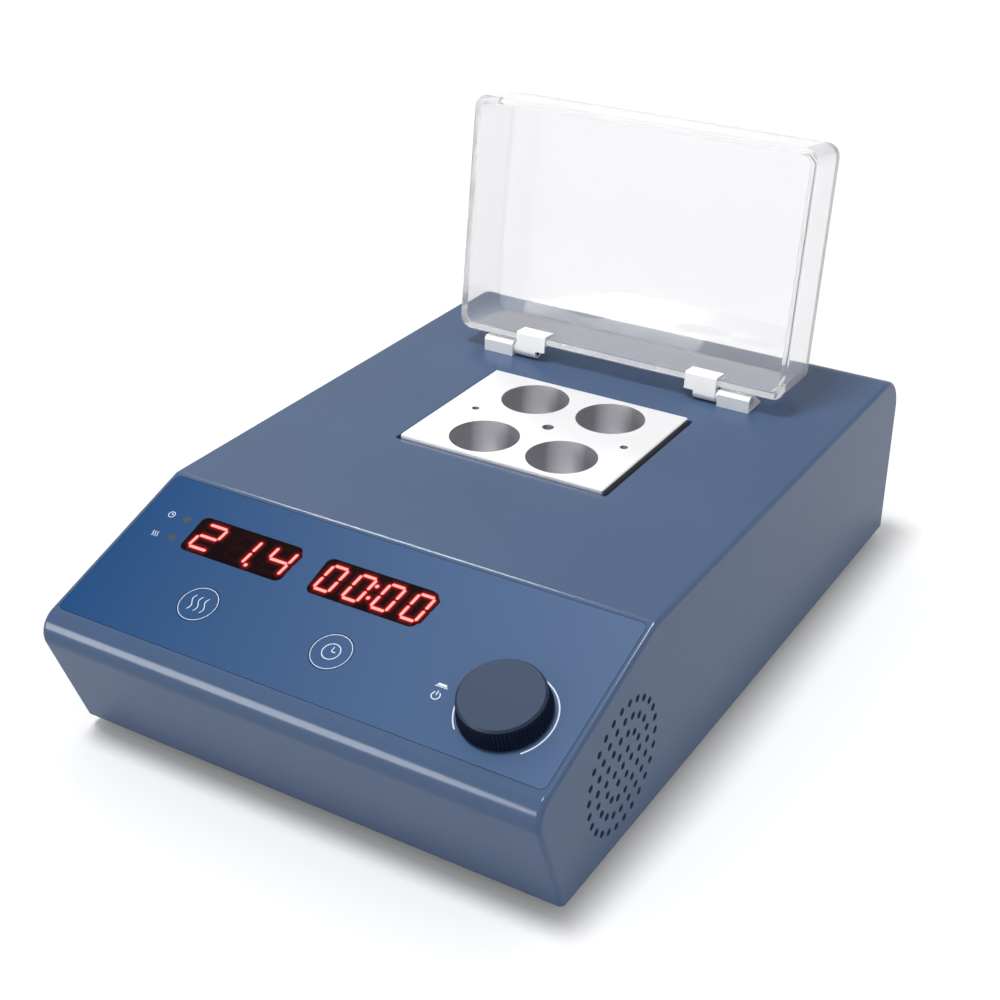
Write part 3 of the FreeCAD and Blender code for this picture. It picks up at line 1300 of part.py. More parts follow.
def transformer():
    """Mains transformer: core and winding."""
    width, depth, height = TRANSFORMER_SIZE
    x, y = on_power_board(TRANSFORMER_PLACE)
    core = slab(width, depth * 0.45, 0, POWER_TOP, height, x, y)
    winding = slab(width * 0.72, depth, 4.0, POWER_TOP, height * 0.86, x, y)
    return joined([core, winding])


def capacitor():
    """Smoothing capacitor can."""
    x, y = on_power_board(CAPACITOR_PLACE)
    return rod(CAPACITOR_RADIUS, V(x, y, POWER_TOP), V(x, y, POWER_TOP + CAPACITOR_HEIGHT))


def terminal_block():
    """Screw terminals along the board's back edge."""
    width, depth, height = TERMINAL_SIZE
    x = POWER_LEFT + POWER_WIDTH / 2
    y = POWER_BACK_Y - depth / 2 - 1
    body = slab(width, depth, 0, POWER_TOP, height, x, y)
    top = POWER_TOP + height
    cutters = []
    for index in range(TERMINAL_WAYS):
        way_x = x + (index - (TERMINAL_WAYS - 1) / 2) * width / TERMINAL_WAYS
        low = V(way_x, y - 1, top - TERMINAL_HOLE_DEPTH)
        cutters.append(rod(TERMINAL_HOLE_RADIUS, low, V(way_x, y - 1, top)))
    return body.cut(cutters)


def triac_heatsink():
    """Finned heat sink of the heater's switching device."""
    width, depth, height = HEATSINK_SIZE
    x, y = on_power_board(HEATSINK_PLACE)
    pieces = [slab(width, HEATSINK_SPINE, 0, POWER_TOP, height, x, y)]
    for index in range(HEATSINK_FINS):
        fin_x = x + (index / (HEATSINK_FINS - 1) - 0.5) * (width - HEATSINK_FIN)
        pieces.append(slab(HEATSINK_FIN, depth, 0, POWER_TOP, height, fin_x, y))
    return joined(pieces)


def all_parts():
    """Every node by name."""
    parts = {
        "housing": housing(),
        "base_plate": base_plate(),
        "feet": feet(),
        "block_well": block_well(),
        "well_gasket": well_gasket(),
        "insulation_jacket": insulation_jacket(),
        "insulation_pad": insulation_pad(),
        "heater_mat": heater_mat(),
        "heater_plate": heater_plate(),
        "temperature_probe": probe_bar(0),
        "thermal_cutout": thermal_cutout(),
        "well_pillars": well_pillars(),
        "heating_block": heating_block(),
        "control_overlay": control_overlay(),
        "temperature_window": display_window(TEMPERATURE_WINDOW_X),
        "timer_window": display_window(TIMER_WINDOW_X),
        "temperature_display": display_module(TEMPERATURE_WINDOW_X),
        "timer_display": display_module(TIMER_WINDOW_X),
        "indicator_lenses": indicator_lenses(),
        "indicator_lamps": indicator_lamps(),
        "heat_key": control_key(HEAT_KEY_X),
        "timer_key": control_key(TIMER_KEY_X),
        "heat_switch": key_switch(HEAT_KEY_X),
        "timer_switch": key_switch(TIMER_KEY_X),
        "control_board": control_board(),
        "buzzer": buzzer(),
        "encoder_body": encoder_body(),
        "encoder_rotor": encoder_rotor(),
        "encoder_shaft": encoder_shaft(),
        "encoder_nut": encoder_nut(),
        "knob": knob(),
        "fan_frame": fan_frame(),
        "fan_rotor": fan_rotor(),
        "hinge_pins": hinge_pins(),
        "hinge_washers": hinge_washers(),
        "lid": lid(),
        "inlet_body": inlet_body(),
        "inlet_blades": group(inlet_blades()),
        "fuse_drawer": fuse_drawer(),
        "fuse": fuse(),
        "rocker_frame": rocker_frame(),
        "rocker": rocker(),
        "power_board": power_board(),
        "power_board_pillars": power_board_pillars(),
        "transformer": transformer(),
        "capacitor": capacitor(),
        "terminal_block": terminal_block(),
        "triac_heatsink": triac_heatsink(),
    }
    for word, side in (("left", -1), ("right", 1)):
        parts["hinge_base_" + word] = hinge_base(side)
        parts["hinge_clip_" + word] = hinge_clip(side)
    return parts


os.makedirs("parts", exist_ok=True)
for node, shape in all_parts().items():
    shape.exportStep("parts/" + node + ".step")
    print(node, "solids", len(shape.Solids), "valid", shape.isValid(), "volume", round(shape.Volume, 1))
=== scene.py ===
import json
import math

import bmesh
import bpy
from mathutils import Matrix, Vector


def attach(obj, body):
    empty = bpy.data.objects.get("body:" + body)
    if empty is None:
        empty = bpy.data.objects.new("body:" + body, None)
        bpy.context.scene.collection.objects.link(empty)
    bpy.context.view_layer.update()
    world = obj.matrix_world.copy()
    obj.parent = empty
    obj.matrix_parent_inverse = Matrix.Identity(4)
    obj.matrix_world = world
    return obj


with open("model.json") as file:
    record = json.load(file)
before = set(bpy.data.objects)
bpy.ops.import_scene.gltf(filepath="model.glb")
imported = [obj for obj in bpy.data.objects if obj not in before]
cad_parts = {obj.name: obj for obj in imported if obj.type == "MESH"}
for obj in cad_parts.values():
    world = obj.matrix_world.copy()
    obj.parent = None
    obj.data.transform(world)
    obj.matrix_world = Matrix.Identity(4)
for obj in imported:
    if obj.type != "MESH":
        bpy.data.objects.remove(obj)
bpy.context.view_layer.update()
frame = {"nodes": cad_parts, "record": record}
NODES = frame["nodes"]

# Control panel plane: its slope, and where it breaks off the top
MM = 0.001
PANEL_ANGLE = math.radians(18.8)
BREAK_Y = -84.651 * MM
BREAK_Z = 86.0 * MM

# Ink on the panel, in millimetres out along its normal
PRINT_LOW = 0.02
PRINT_HIGH = 0.07

# Printed marks, in millimetres on the panel: places go across and down from the break, signs add their size
KEY_PLACES = ((-54.0, 55.0), (6.6, 55.0))
KEY_RING_RADIUS = 7.75
KEY_RING_WIDTH = 0.24
KNOB_PLACE = (78.2, 54.5)
DIAL_RADIUS = 18.1
DIAL_WIDTH = 0.54
DIAL_SWEEP = (-45.0, 225.0)
DIAL_STEPS = 110
LAMP_HEAT_SIGN = (-93.4, 31.5, 2.6)
LAMP_CLOCK_SIGN = (-93.4, 20.7, 2.8)
LAMP_SIGN_STROKE = 0.32
KEY_SIGN_SIZE = 7.0
KEY_SIGN_STROKE = 0.36
PUSH_SIGN = (52.0, 57.4, 3.2)
PUSH_SIGN_STROKE = 0.4
BUTTON_SIGN = ((50.3, 52.1), (53.5, 52.1), (54.0, 53.1), (50.0, 53.1))
BUTTON_LINE = ((49.6, 53.5), (54.4, 53.5))
BUTTON_STROKE = 0.3

# Glowing digits, in millimetres on the panel; the layers rise from the unlit parts over the halos to the core
DIGIT_TOP = 19.6
DIGIT_BOTTOM = 31.8
DIGIT_SLANT = 0.13
SEGMENT_WIDTH = 1.15
SEGMENT_GAP = 0.35
DOT_RADIUS = 0.75
SEGMENT_LOW = 0.01
UNLIT_HIGH = 0.02
HALO_HIGH = 0.06
HALO_STEP = 0.008
LIT_HIGH = 0.07

# Segments that light for each digit
SEGMENTS = {
    "0": "abcdef", "1": "bc", "2": "abged", "3": "abgcd", "4": "fgbc",
    "5": "afgcd", "6": "afgedc", "7": "abc", "8": "abcdefg", "9": "abcdfg",
}

# Displays: digits, left end of the first, pitch and width in millimetres, places of the dots
DISPLAYS = {
    "temperature_digits": ("214", -76.6, 16.9, 8.9, ((-48.6, 32.0),)),
    "timer_digits": ("0000", -17.3, 12.7, 6.6, ((5.3, 22.5), (5.2, 28.5))),
}

# Open lid, in millimetres: the axis of its pins, and how far it leans back
PIN_Y = 89.56
PIN_Z = 89.3
LID_LEAN = math.radians(7.7)

# Painted highlight, a milky strip on the lower face of the lid's rim where light shines out of its edge: half
# its length, its height range, its depth range
STRIP_REACH = 77.0
STRIP_RISES = (4.95, 7.35)
STRIP_DEPTHS = (-1.96, -2.0)

# Screws, in millimetres: where they stand across and along, height of their seats, radius and height of heads
BASE_SCREW_X = 102.5
BASE_SCREW_YS = (-138, 10, 150)
BASE_SCREW_SEAT = 6.6
BASE_SCREW_HEAD = (2.8, 1.8)
FOOT_SCREW_X = 84
FOOT_SCREW_YS = (-122, 138)
FOOT_SCREW_SEAT = 3.4
FOOT_SCREW_HEAD = (3.2, 2.0)
HINGE_SCREW_XS = (55.4, 63.0)
HINGE_SCREW_Y = 95.76
HINGE_SCREW_SEAT = 87.6
HINGE_SCREW_HEAD = (2.2, 1.6)

# Finish of the clear coat, and the lid's bending of light
COAT_ROUGHNESS = 0.13
ACRYLIC_IOR = 1.49


def linear(red, green, blue):
    """Linear colour from 0-255 display values."""
    out = []
    for value in (red, green, blue):
        share = value / 255
        out.append(share / 12.92 if share <= 0.04045 else ((share + 0.055) / 1.055) ** 2.4)
    return (*out, 1.0)


def panel_point(x, down, out=0.0):
    """Point on the control panel: across, down the slope from the break, out along its normal."""
    y = BREAK_Y - down * MM * math.cos(PANEL_ANGLE) - out * MM * math.sin(PANEL_ANGLE)
    z = BREAK_Z - down * MM * math.sin(PANEL_ANGLE) + out * MM * math.cos(PANEL_ANGLE)
    return Vector((x * MM, y, z))


# Materials

def new_material(name):
    """New node material with its node tree and shader."""
    material = bpy.data.materials.new(name)
    material.use_nodes = True
    tree = material.node_tree
    shader = tree.nodes["Principled BSDF"]
    return material, tree, shader


def noise(tree, scale, detail=3.0, roughness=0.55, stretch=(1, 1, 1)):
    """Noise in object space, in cycles per metre."""
    coords = tree.nodes.new("ShaderNodeTexCoord")
    mapping = tree.nodes.new("ShaderNodeMapping")
    mapping.inputs["Scale"].default_value = stretch
    texture = tree.nodes.new("ShaderNodeTexNoise")
    texture.inputs["Scale"].default_value = scale
    texture.inputs["Detail"].default_value = detail
    texture.inputs["Roughness"].default_value = roughness
    tree.links.new(coords.outputs["Object"], mapping.inputs["Vector"])
    tree.links.new(mapping.outputs["Vector"], texture.inputs["Vector"])
    return texture


def ramp(tree, source, low, high, low_at=0.3, high_at=0.7):
    """Two-colour ramp over a value."""
    node = tree.nodes.new("ShaderNodeValToRGB")
    node.color_ramp.elements[0].position = low_at
    node.color_ramp.elements[0].color = low
    node.color_ramp.elements[1].position = high_at
    node.color_ramp.elements[1].color = high
    tree.links.new(source, node.inputs["Fac"])
    return node


def spread(tree, source, low, high):
    """Value mapped from 0-1 to low-high."""
    node = tree.nodes.new("ShaderNodeMapRange")
    node.inputs["To Min"].default_value = low
    node.inputs["To Max"].default_value = high
    tree.links.new(source, node.inputs["Value"])
    return node.outputs["Result"]


def bump(tree, shader, source, strength, distance):
    """Surface relief from a value."""
    node = tree.nodes.new("ShaderNodeBump")
    node.inputs["Strength"].default_value = strength
    node.inputs["Distance"].default_value = distance
    tree.links.new(source, node.inputs["Height"])
    tree.links.new(node.outputs["Normal"], shader.inputs["Normal"])
    return node


def surface(name, colour, rough, metal=0.0, vary=0.06, tone_scale=40.0, grain_scale=900.0, relief=0.1,
            relief_depth=0.00003, stretch=(1, 1, 1), specular=0.5, rough_vary=0.05, coat=0.0):
    """Solid finish with a slight drift of tone, a fine grain and an uneven roughness."""
    material, tree, shader = new_material(name)
    tone = noise(tree, tone_scale)
    low = tuple(channel * (1 - vary) for channel in colour[:3]) + (1,)
    high = tuple(min(channel * (1 + vary), 1) for channel in colour[:3]) + (1,)
    colours = ramp(tree, tone.outputs["Fac"], low, high)
    tree.links.new(colours.outputs["Color"], shader.inputs["Base Color"])
    grain = noise(tree, grain_scale, 2.0, 0.6, stretch)
    low_rough = max(rough - rough_vary, 0.02)
    high_rough = min(rough + rough_vary, 1)
    tree.links.new(spread(tree, grain.outputs["Fac"], low_rough, high_rough), shader.inputs["Roughness"])
    shader.inputs["Metallic"].default_value = metal
    shader.inputs["Specular IOR Level"].default_value = specular
    shader.inputs["Coat Weight"].default_value = coat
    shader.inputs["Coat Roughness"].default_value = COAT_ROUGHNESS
    bump(tree, shader, grain.outputs["Fac"], relief, relief_depth)
    return material


def facing(tree, axis, low, high):
    """0-1 value that rises as the surface, in object space, turns along an axis."""
    coords = tree.nodes.new("ShaderNodeTexCoord")
    dot = tree.nodes.new("ShaderNodeVectorMath")
    dot.operation = "DOT_PRODUCT"
    dot.inputs[1].default_value = axis
    tree.links.new(coords.outputs["Normal"], dot.inputs[0])
    span = tree.nodes.new("ShaderNodeMapRange")
    span.inputs["From Min"].default_value = low
    span.inputs["From Max"].default_value = high
    tree.links.new(dot.outputs["Value"], span.inputs["Value"])
    return span.outputs["Result"]


def blend(tree, mask, first, second):
    """Mix of two colours, or of a colour and a node's colour, by a mask."""
    node = tree.nodes.new("ShaderNodeMix")
    node.data_type = "RGBA"
    tree.links.new(mask, node.inputs["Factor"])
    for place, value in ((6, first), (7, second)):
        if isinstance(value, tuple):
            node.inputs[place].default_value = value
        else:
            tree.links.new(value, node.inputs[place])
    return node.outputs[2]


def block_material():
    """Blasted top, and turned bores whose wall carries a painted highlight: brightest along a strip that
    faces the front.
    """
    material, tree, shader = new_material("block_aluminium_look")
    top = facing(tree, (0, 0, 1), 0.3, 0.6)
    grain = noise(tree, 2600.0, 2.0, 0.6)
    turned = noise(tree, 260.0, 2.0, 0.5, (0.05, 0.05, 6.0))
    top_colour = ramp(tree, grain.outputs["Fac"], linear(218, 218, 219), linear(226, 226, 227))
    dull_colour = ramp(tree, turned.outputs["Fac"], linear(180, 180, 186), linear(192, 192, 197))
    painted_highlight_colour = ramp(tree, turned.outputs["Fac"], linear(248, 248, 250), linear(252, 252, 253))
    # Painted highlight: the bore wall is painted brighter along a strip that faces the front, standing in for
    # the glint of light in the bores
    painted_highlight_mask = facing(tree, (0.36, -0.93, 0), 0.82, 0.99)
    wall_and_highlight_colour = blend(tree, painted_highlight_mask, dull_colour.outputs["Color"], painted_highlight_colour.outputs["Color"])
    colour = blend(tree, top, wall_and_highlight_colour, top_colour.outputs["Color"])
    tree.links.new(colour, shader.inputs["Base Color"])
    tree.links.new(spread(tree, top, 0.8, 0.25), shader.inputs["Metallic"])
    tree.links.new(spread(tree, top, 0.36, 0.42), shader.inputs["Roughness"])
    bump(tree, shader, grain.outputs["Fac"], 0.1, 0.00002)
    return material


def knob_material():
    """Dark blue moulding: satin top, and painted shade that makes the ribbed side much darker."""
    material, tree, shader = new_material("knob_plastic_look")
    top = facing(tree, (0, -math.sin(PANEL_ANGLE), math.cos(PANEL_ANGLE)), 0.5, 0.9)
    grain = noise(tree, 2600.0, 2.0, 0.6)
    # Painted shade: the ribbed side gets a much darker copy of the top's blue
    shaded_side_colour = ramp(tree, grain.outputs["Fac"], linear(2, 12, 32), linear(6, 18, 42))
    top_colour = ramp(tree, grain.outputs["Fac"], linear(49, 63, 87), linear(54, 68, 92))
    colour = blend(tree, top, shaded_side_colour.outputs["Color"], top_colour.outputs["Color"])
    tree.links.new(colour, shader.inputs["Base Color"])
    tree.links.new(spread(tree, grain.outputs["Fac"], 0.42, 0.52), shader.inputs["Roughness"])
    shader.inputs["Specular IOR Level"].default_value = 0.12
    bump(tree, shader, grain.outputs["Fac"], 0.15, 0.00002)
    return material


def rim_highlight_material():
    """Polished cut edge of the lid, painted milky as a highlight where light gathers in it."""
    material, tree, shader = new_material("lid_rim_look")
    tone = noise(tree, 30.0)
    # Painted highlight: the near-white, partly clear colour stands in for the light shining out of the rim's
    # edge
    colours = ramp(tree, tone.outputs["Fac"], (0.9, 0.9, 0.93, 1), (0.97, 0.97, 0.98, 1))
    tree.links.new(colours.outputs["Color"], shader.inputs["Base Color"])
    tree.links.new(spread(tree, tone.outputs["Fac"], 0.2, 0.35), shader.inputs["Roughness"])
    shader.inputs["Transmission Weight"].default_value = 0.3
    shader.inputs["IOR"].default_value = ACRYLIC_IOR
    return material


def overlay_material():
    """Printed film: saturated blue, with a painted sheen that makes it lighter towards the right."""
    material, tree, shader = new_material("overlay_film_look")
    coords = tree.nodes.new("ShaderNodeTexCoord")
    split = tree.nodes.new("ShaderNodeSeparateXYZ")
    tree.links.new(coords.outputs["Object"], split.inputs["Vector"])
    across = tree.nodes.new("ShaderNodeMapRange")
    across.inputs["From Min"].default_value = -0.105
    across.inputs["From Max"].default_value = 0.105
    tree.links.new(split.outputs["X"], across.inputs["Value"])
    # Painted sheen: the blue is painted paler from left to right, standing in for light reflected on the
    # film's right part
    colours = ramp(tree, across.outputs["Result"], linear(24, 69, 117), linear(78, 100, 134), 0.0, 1.0)
    grain = noise(tree, 2600.0, 2.0)
    shade = tree.nodes.new("ShaderNodeMix")
    shade.data_type = "RGBA"
    shade.blend_type = "MULTIPLY"
    shade.inputs["Factor"].default_value = 0.06
    tree.links.new(colours.outputs["Color"], shade.inputs[6])
    tree.links.new(grain.outputs["Color"], shade.inputs[7])
    tree.links.new(shade.outputs[2], shader.inputs["Base Color"])
    tree.links.new(spread(tree, grain.outputs["Fac"], 0.3, 0.38), shader.inputs["Roughness"])
    shader.inputs["Specular IOR Level"].default_value = 0.08
    bump(tree, shader, grain.outputs["Fac"], 0.08, 0.00002)
    return material


def window_material():
    """Near-black red window."""
    material, tree, shader = new_material("window_look")
    tone = noise(tree, 60.0)
    colours = ramp(tree, tone.outputs["Fac"], linear(14, 2, 4), linear(24, 3, 5))
    tree.links.new(colours.outputs["Color"], shader.inputs["Base Color"])
    tree.links.new(spread(tree, tone.outputs["Fac"], 0.22, 0.3), shader.inputs["Roughness"])
    shader.inputs["Specular IOR Level"].default_value = 0.03
    return material


def glow_material(name, core, strength):
    """Lit segment or halo: glowing colour with a little unevenness."""
    material, tree, shader = new_material(name)
    tone = noise(tree, 900.0)
    colours = ramp(tree, tone.outputs["Fac"], core, tuple(min(c * 1.15, 1) for c in core[:3]) + (1,))
    tree.links.new(colours.outputs["Color"], shader.inputs["Emission Color"])
    shader.inputs["Emission Strength"].default_value = strength
    shader.inputs["Base Color"].default_value = linear(8, 1, 1)
    shader.inputs["Roughness"].default_value = 0.5
    shader.inputs["Specular IOR Level"].default_value = 0.02
    return material


def clear_material():
    """Clear moulded acrylic."""
    material, tree, shader = new_material("lid_acrylic_look")
    tone = noise(tree, 6.0)
    colours = ramp(tree, tone.outputs["Fac"], (0.925, 0.925, 0.94, 1), (0.94, 0.94, 0.955, 1))
    tree.links.new(colours.outputs["Color"], shader.inputs["Base Color"])
    tree.links.new(spread(tree, tone.outputs["Fac"], 0.0, 0.02), shader.inputs["Roughness"])
    shader.inputs["Transmission Weight"].default_value = 0.84
    shader.inputs["IOR"].default_value = ACRYLIC_IOR
    return material


def white_print():
    """Pale screen-printed ink."""
    return surface("print_look", linear(205, 217, 228), 0.5, vary=0.03, tone_scale=300.0, relief=0.05)


MATERIALS = {
    "cover_paint": surface("cover_paint_look", linear(67, 87, 118), 0.42, vary=0.03, tone_scale=14.0,
                           grain_scale=2200.0, relief=0.12, relief_depth=0.00002, specular=0.05, coat=0.28),
    "zinc_steel": surface("zinc_steel_look", linear(170, 172, 174), 0.38, 0.9, vary=0.08, tone_scale=90.0),
    "screw_steel": surface("screw_steel_look", linear(160, 162, 165), 0.3, 1.0, tone_scale=300.0),
    "foot_rubber": surface("foot_rubber_look", linear(26, 26, 27), 0.75, grain_scale=1400.0, relief=0.3),
    "well_steel": surface("well_steel_look", linear(50, 51, 54), 0.5, 0.7, tone_scale=60.0),
    "gasket_rubber": surface("gasket_rubber_look", linear(24, 24, 24), 0.8),
    "insulation": surface("insulation_look", linear(220, 214, 200), 0.95, grain_scale=500.0, relief=0.6,
                          relief_depth=0.0003),
    "heater_rubber": surface("heater_rubber_look", linear(150, 60, 38), 0.7),
    "plate_aluminium": surface("plate_aluminium_look", linear(186, 188, 191), 0.4, 1.0, stretch=(1, 12, 1)),
    "probe_steel": surface("probe_steel_look", linear(175, 177, 180), 0.25, 1.0),
    "block_aluminium": block_material(),
    "overlay_film": overlay_material(),
    "window_film": window_material(),
    "black_plastic": surface("black_plastic_look", linear(28, 28, 30), 0.55),
    "lens_plastic": surface("lens_plastic_look", linear(38, 42, 47), 0.35, tone_scale=500.0),
    "circuit_board": surface("circuit_board_look", linear(22, 88, 48), 0.4, vary=0.12, tone_scale=120.0),
    "knob_plastic": knob_material(),
    "fan_plastic": surface("fan_plastic_look", linear(30, 30, 33), 0.5),
    "pin_steel": surface("pin_steel_look", linear(150, 146, 140), 0.25, 1.0),
    "washer_plastic": surface("washer_plastic_look", linear(225, 225, 222), 0.5),
    "hinge_aluminium": surface("hinge_aluminium_look", linear(238, 239, 240), 0.38, 0.15, vary=0.03,
                               grain_scale=1600.0, stretch=(0.2, 6, 6)),
    "clip_aluminium": surface("clip_aluminium_look", linear(250, 250, 250), 0.38, 0.05, vary=0.02,
                              grain_scale=1600.0, stretch=(0.2, 6, 6)),
    "lid_acrylic": clear_material(),
    "inlet_plastic": surface("inlet_plastic_look", linear(24, 24, 26), 0.5, grain_scale=1500.0, relief=0.2),
    "blade_brass": surface("blade_brass_look", linear(214, 200, 160), 0.25, 1.0),
    "fuse_glass": surface("fuse_glass_look", linear(222, 222, 216), 0.2),
    "rocker_plastic": surface("rocker_plastic_look", linear(20, 20, 22), 0.32),
    "transformer_core": surface("transformer_core_look", linear(56, 56, 62), 0.5, 0.4, stretch=(1, 1, 30)),
    "capacitor_sleeve": surface("capacitor_sleeve_look", linear(26, 34, 62), 0.3),
    "terminal_plastic": surface("terminal_plastic_look", linear(46, 130, 84), 0.45),
}
MATERIALS["key_film"] = MATERIALS["overlay_film"]
PRINT = white_print()
GLOW = glow_material("digit_glow_look", (1.0, 0.46, 0.40, 1), 1.1)
HALOS = [
    (0.45, glow_material("inner_halo_look", (0.85, 0.06, 0.06, 1), 0.9)),
    (1.0, glow_material("near_halo_look", (0.50, 0.003, 0.010, 1), 0.75)),
    (1.7, glow_material("middle_halo_look", (0.26, 0.001, 0.006, 1), 0.6)),
    (2.6, glow_material("far_halo_look", (0.12, 0.001, 0.003, 1), 0.6)),
    (3.8, glow_material("outer_halo_look", (0.05, 0.001, 0.002, 1), 0.6)),
]
UNLIT = surface("digit_unlit_look", linear(26, 2, 4), 0.6, tone_scale=200.0, specular=0.02)

for entry in frame["record"]["subparts"]:
    target = NODES[entry["node"]]
    target.data.materials.clear()
    target.data.materials.append(MATERIALS[entry["material_slot"]])


# Flat pieces on the panel

def finish_mesh(mesh, name, material, body):
    """Object from a bmesh, riding on a body."""
    bmesh.ops.recalc_face_normals(mesh, faces=mesh.faces)
    data = bpy.data.meshes.new(name)
    mesh.to_mesh(data)
    mesh.free()
    data.materials.append(material)
    piece = bpy.data.objects.new(name, data)
    bpy.context.scene.collection.objects.link(piece)
    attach(piece, body)
    return piece


def add_prism(mesh, outline, low, high):
    """Thin prism on the panel from an outline of (x, down) points."""
    bottom = [mesh.verts.new(panel_point(x, down, low)) for x, down in outline]
    top = [mesh.verts.new(panel_point(x, down, high)) for x, down in outline]
    mesh.faces.new(bottom)
    mesh.faces.new(top)
    count = len(outline)
    for index in range(count):
        after = (index + 1) % count
        mesh.faces.new((bottom[index], bottom[after], top[after], top[index]))


def add_band(mesh, inner, outer, low, high, closed=True):
    """Thin band between two outlines of (x, down) points."""
    rings = []
    for outline, out in ((inner, low), (outer, low), (outer, high), (inner, high)):
        rings.append([mesh.verts.new(panel_point(x, down, out)) for x, down in outline])
    count = len(inner)
    spans = count if closed else count - 1
    for index in range(spans):
        after = (index + 1) % count
        for ring in range(4):
            following = rings[(ring + 1) % 4]
            mesh.faces.new((rings[ring][index], rings[ring][after], following[after], following[index]))
    if not closed:
        for end in (0, count - 1):
            mesh.faces.new([ring[end] for ring in rings])


def arc_points(x, down, radius, start, stop, steps):
    """Points on an arc of the panel, angles in degrees from +X towards the break."""
    points = []
    for index in range(steps + 1):
        turn = math.radians(start + (stop - start) * index / steps)
        points.append((x + radius * math.cos(turn), down - radius * math.sin(turn)))
    return points


def ring(mesh, x, down, radius, width, start=0.0, stop=360.0, steps=72):
    """Printed ring or arc."""
    closed = stop - start >= 360
    if closed:
        stop -= 360 / steps
        steps -= 1
    inner = arc_points(x, down, radius - width / 2, start, stop, steps)
    outer = arc_points(x, down, radius + width / 2, start, stop, steps)
    add_band(mesh, inner, outer, PRINT_LOW, PRINT_HIGH, closed)


def bar(mesh, start, stop, width):
    """Printed straight stroke with rounded ends."""
    ax, ad = start
    bx, bd = stop
    turn = math.degrees(math.atan2(-(bd - ad), bx - ax))
    outline = arc_points(bx, bd, width / 2, turn - 90, turn + 90, 6)
    outline += arc_points(ax, ad, width / 2, turn + 90, turn + 270, 6)
    add_prism(mesh, outline, PRINT_LOW, PRINT_HIGH)


def heat_sign(mesh, x, down, size, width):
    """Three rising wavy lines."""
    for column in (-1, 0, 1):
        middle = x + column * size * 0.42
        points = []
        for index in range(13):
            share = index / 12
            sway = math.sin(share * 2 * math.pi) * size * 0.11
            points.append((middle + sway, down + size * (0.5 - share)))
        left = [(px - width / 2, pd) for px, pd in points]
        right = [(px + width / 2, pd) for px, pd in points]
        add_band(mesh, left, right, PRINT_LOW, PRINT_HIGH, False)


def clock_sign(mesh, x, down, size, width):
    """Round clock face with two hands."""
    ring(mesh, x, down, size * 0.5, width, steps=40)
    bar(mesh, (x, down), (x, down - size * 0.32), width)
    bar(mesh, (x, down), (x + size * 0.24, down), width)


def power_sign(mesh, x, down, size, width):
    """Open ring with an upright stroke."""
    ring(mesh, x, down, size * 0.5, width, 125.0, 415.0, 36)
    bar(mesh, (x, down - size * 0.62), (x, down - size * 0.1), width)


def printed_marks():
    """Rings round the keys, signs, the dial arc and the push sign."""
    marks = bmesh.new()
    ring(marks, *KNOB_PLACE, DIAL_RADIUS, DIAL_WIDTH, *DIAL_SWEEP, DIAL_STEPS)
    heat_sign(marks, *LAMP_HEAT_SIGN, LAMP_SIGN_STROKE)
    clock_sign(marks, *LAMP_CLOCK_SIGN, LAMP_SIGN_STROKE)
    add_prism(marks, BUTTON_SIGN, PRINT_LOW, PRINT_HIGH)
    bar(marks, *BUTTON_LINE, BUTTON_STROKE)
    power_sign(marks, *PUSH_SIGN, PUSH_SIGN_STROKE)
    finish_mesh(marks, "panel_print", PRINT, "chassis")
    for key, place, draw in zip(("heat_key", "timer_key"), KEY_PLACES, (heat_sign, clock_sign)):
        mesh = bmesh.new()
        ring(mesh, *place, KEY_RING_RADIUS, KEY_RING_WIDTH)
        draw(mesh, *place, KEY_SIGN_SIZE, KEY_SIGN_STROKE)
        finish_mesh(mesh, key + "_print", PRINT, key + "_body")


def segment_outline(ax, ad, bx, bd, width, gap):
    """Pointed bar between two corners of a digit."""
    length = math.hypot(bx - ax, bd - ad)
    ux, ud = (bx - ax) / length, (bd - ad) / length
    nx, nd = -ud, ux
    start, stop = gap, length - gap
    half = width / 2
    places = [(start, 0), (start + half * 0.8, half), (stop - half * 0.8, half), (stop, 0),
              (stop - half * 0.8, -half), (start + half * 0.8, -half)]
    return [(ax + ux * along + nx * off, ad + ud * along + nd * off) for along, off in places]


def digit_segments(left, width, lit):
    """Outlines of a slanted seven-segment digit, split into lit and unlit ones."""
    middle = (DIGIT_TOP + DIGIT_BOTTOM) / 2
    corner = {}
    for key, down in (("t", DIGIT_TOP), ("m", middle), ("b", DIGIT_BOTTOM)):
        lean = (DIGIT_BOTTOM - down) * DIGIT_SLANT
        corner[key + "l"] = (left + lean, down)
        corner[key + "r"] = (left + width + lean, down)
    ends = {"a": ("tl", "tr"), "b": ("tr", "mr"), "c": ("mr", "br"), "d": ("bl", "br"), "e": ("ml", "bl"),
            "f": ("tl", "ml"), "g": ("ml", "mr")}
    on, off = [], []
    for key, (start, stop) in ends.items():
        (on if key in lit else off).append((corner[start], corner[stop]))
    return on, off


def lit_shape(core, halos, outline_for):
    """One lit mark: its core, and its halo layers, each a little wider and lower than the last."""
    for level, (grow, look) in enumerate(HALOS):
        add_prism(halos[level], outline_for(grow), SEGMENT_LOW, HALO_HIGH - HALO_STEP * level)
    add_prism(core, outline_for(0.0), SEGMENT_LOW, LIT_HIGH)


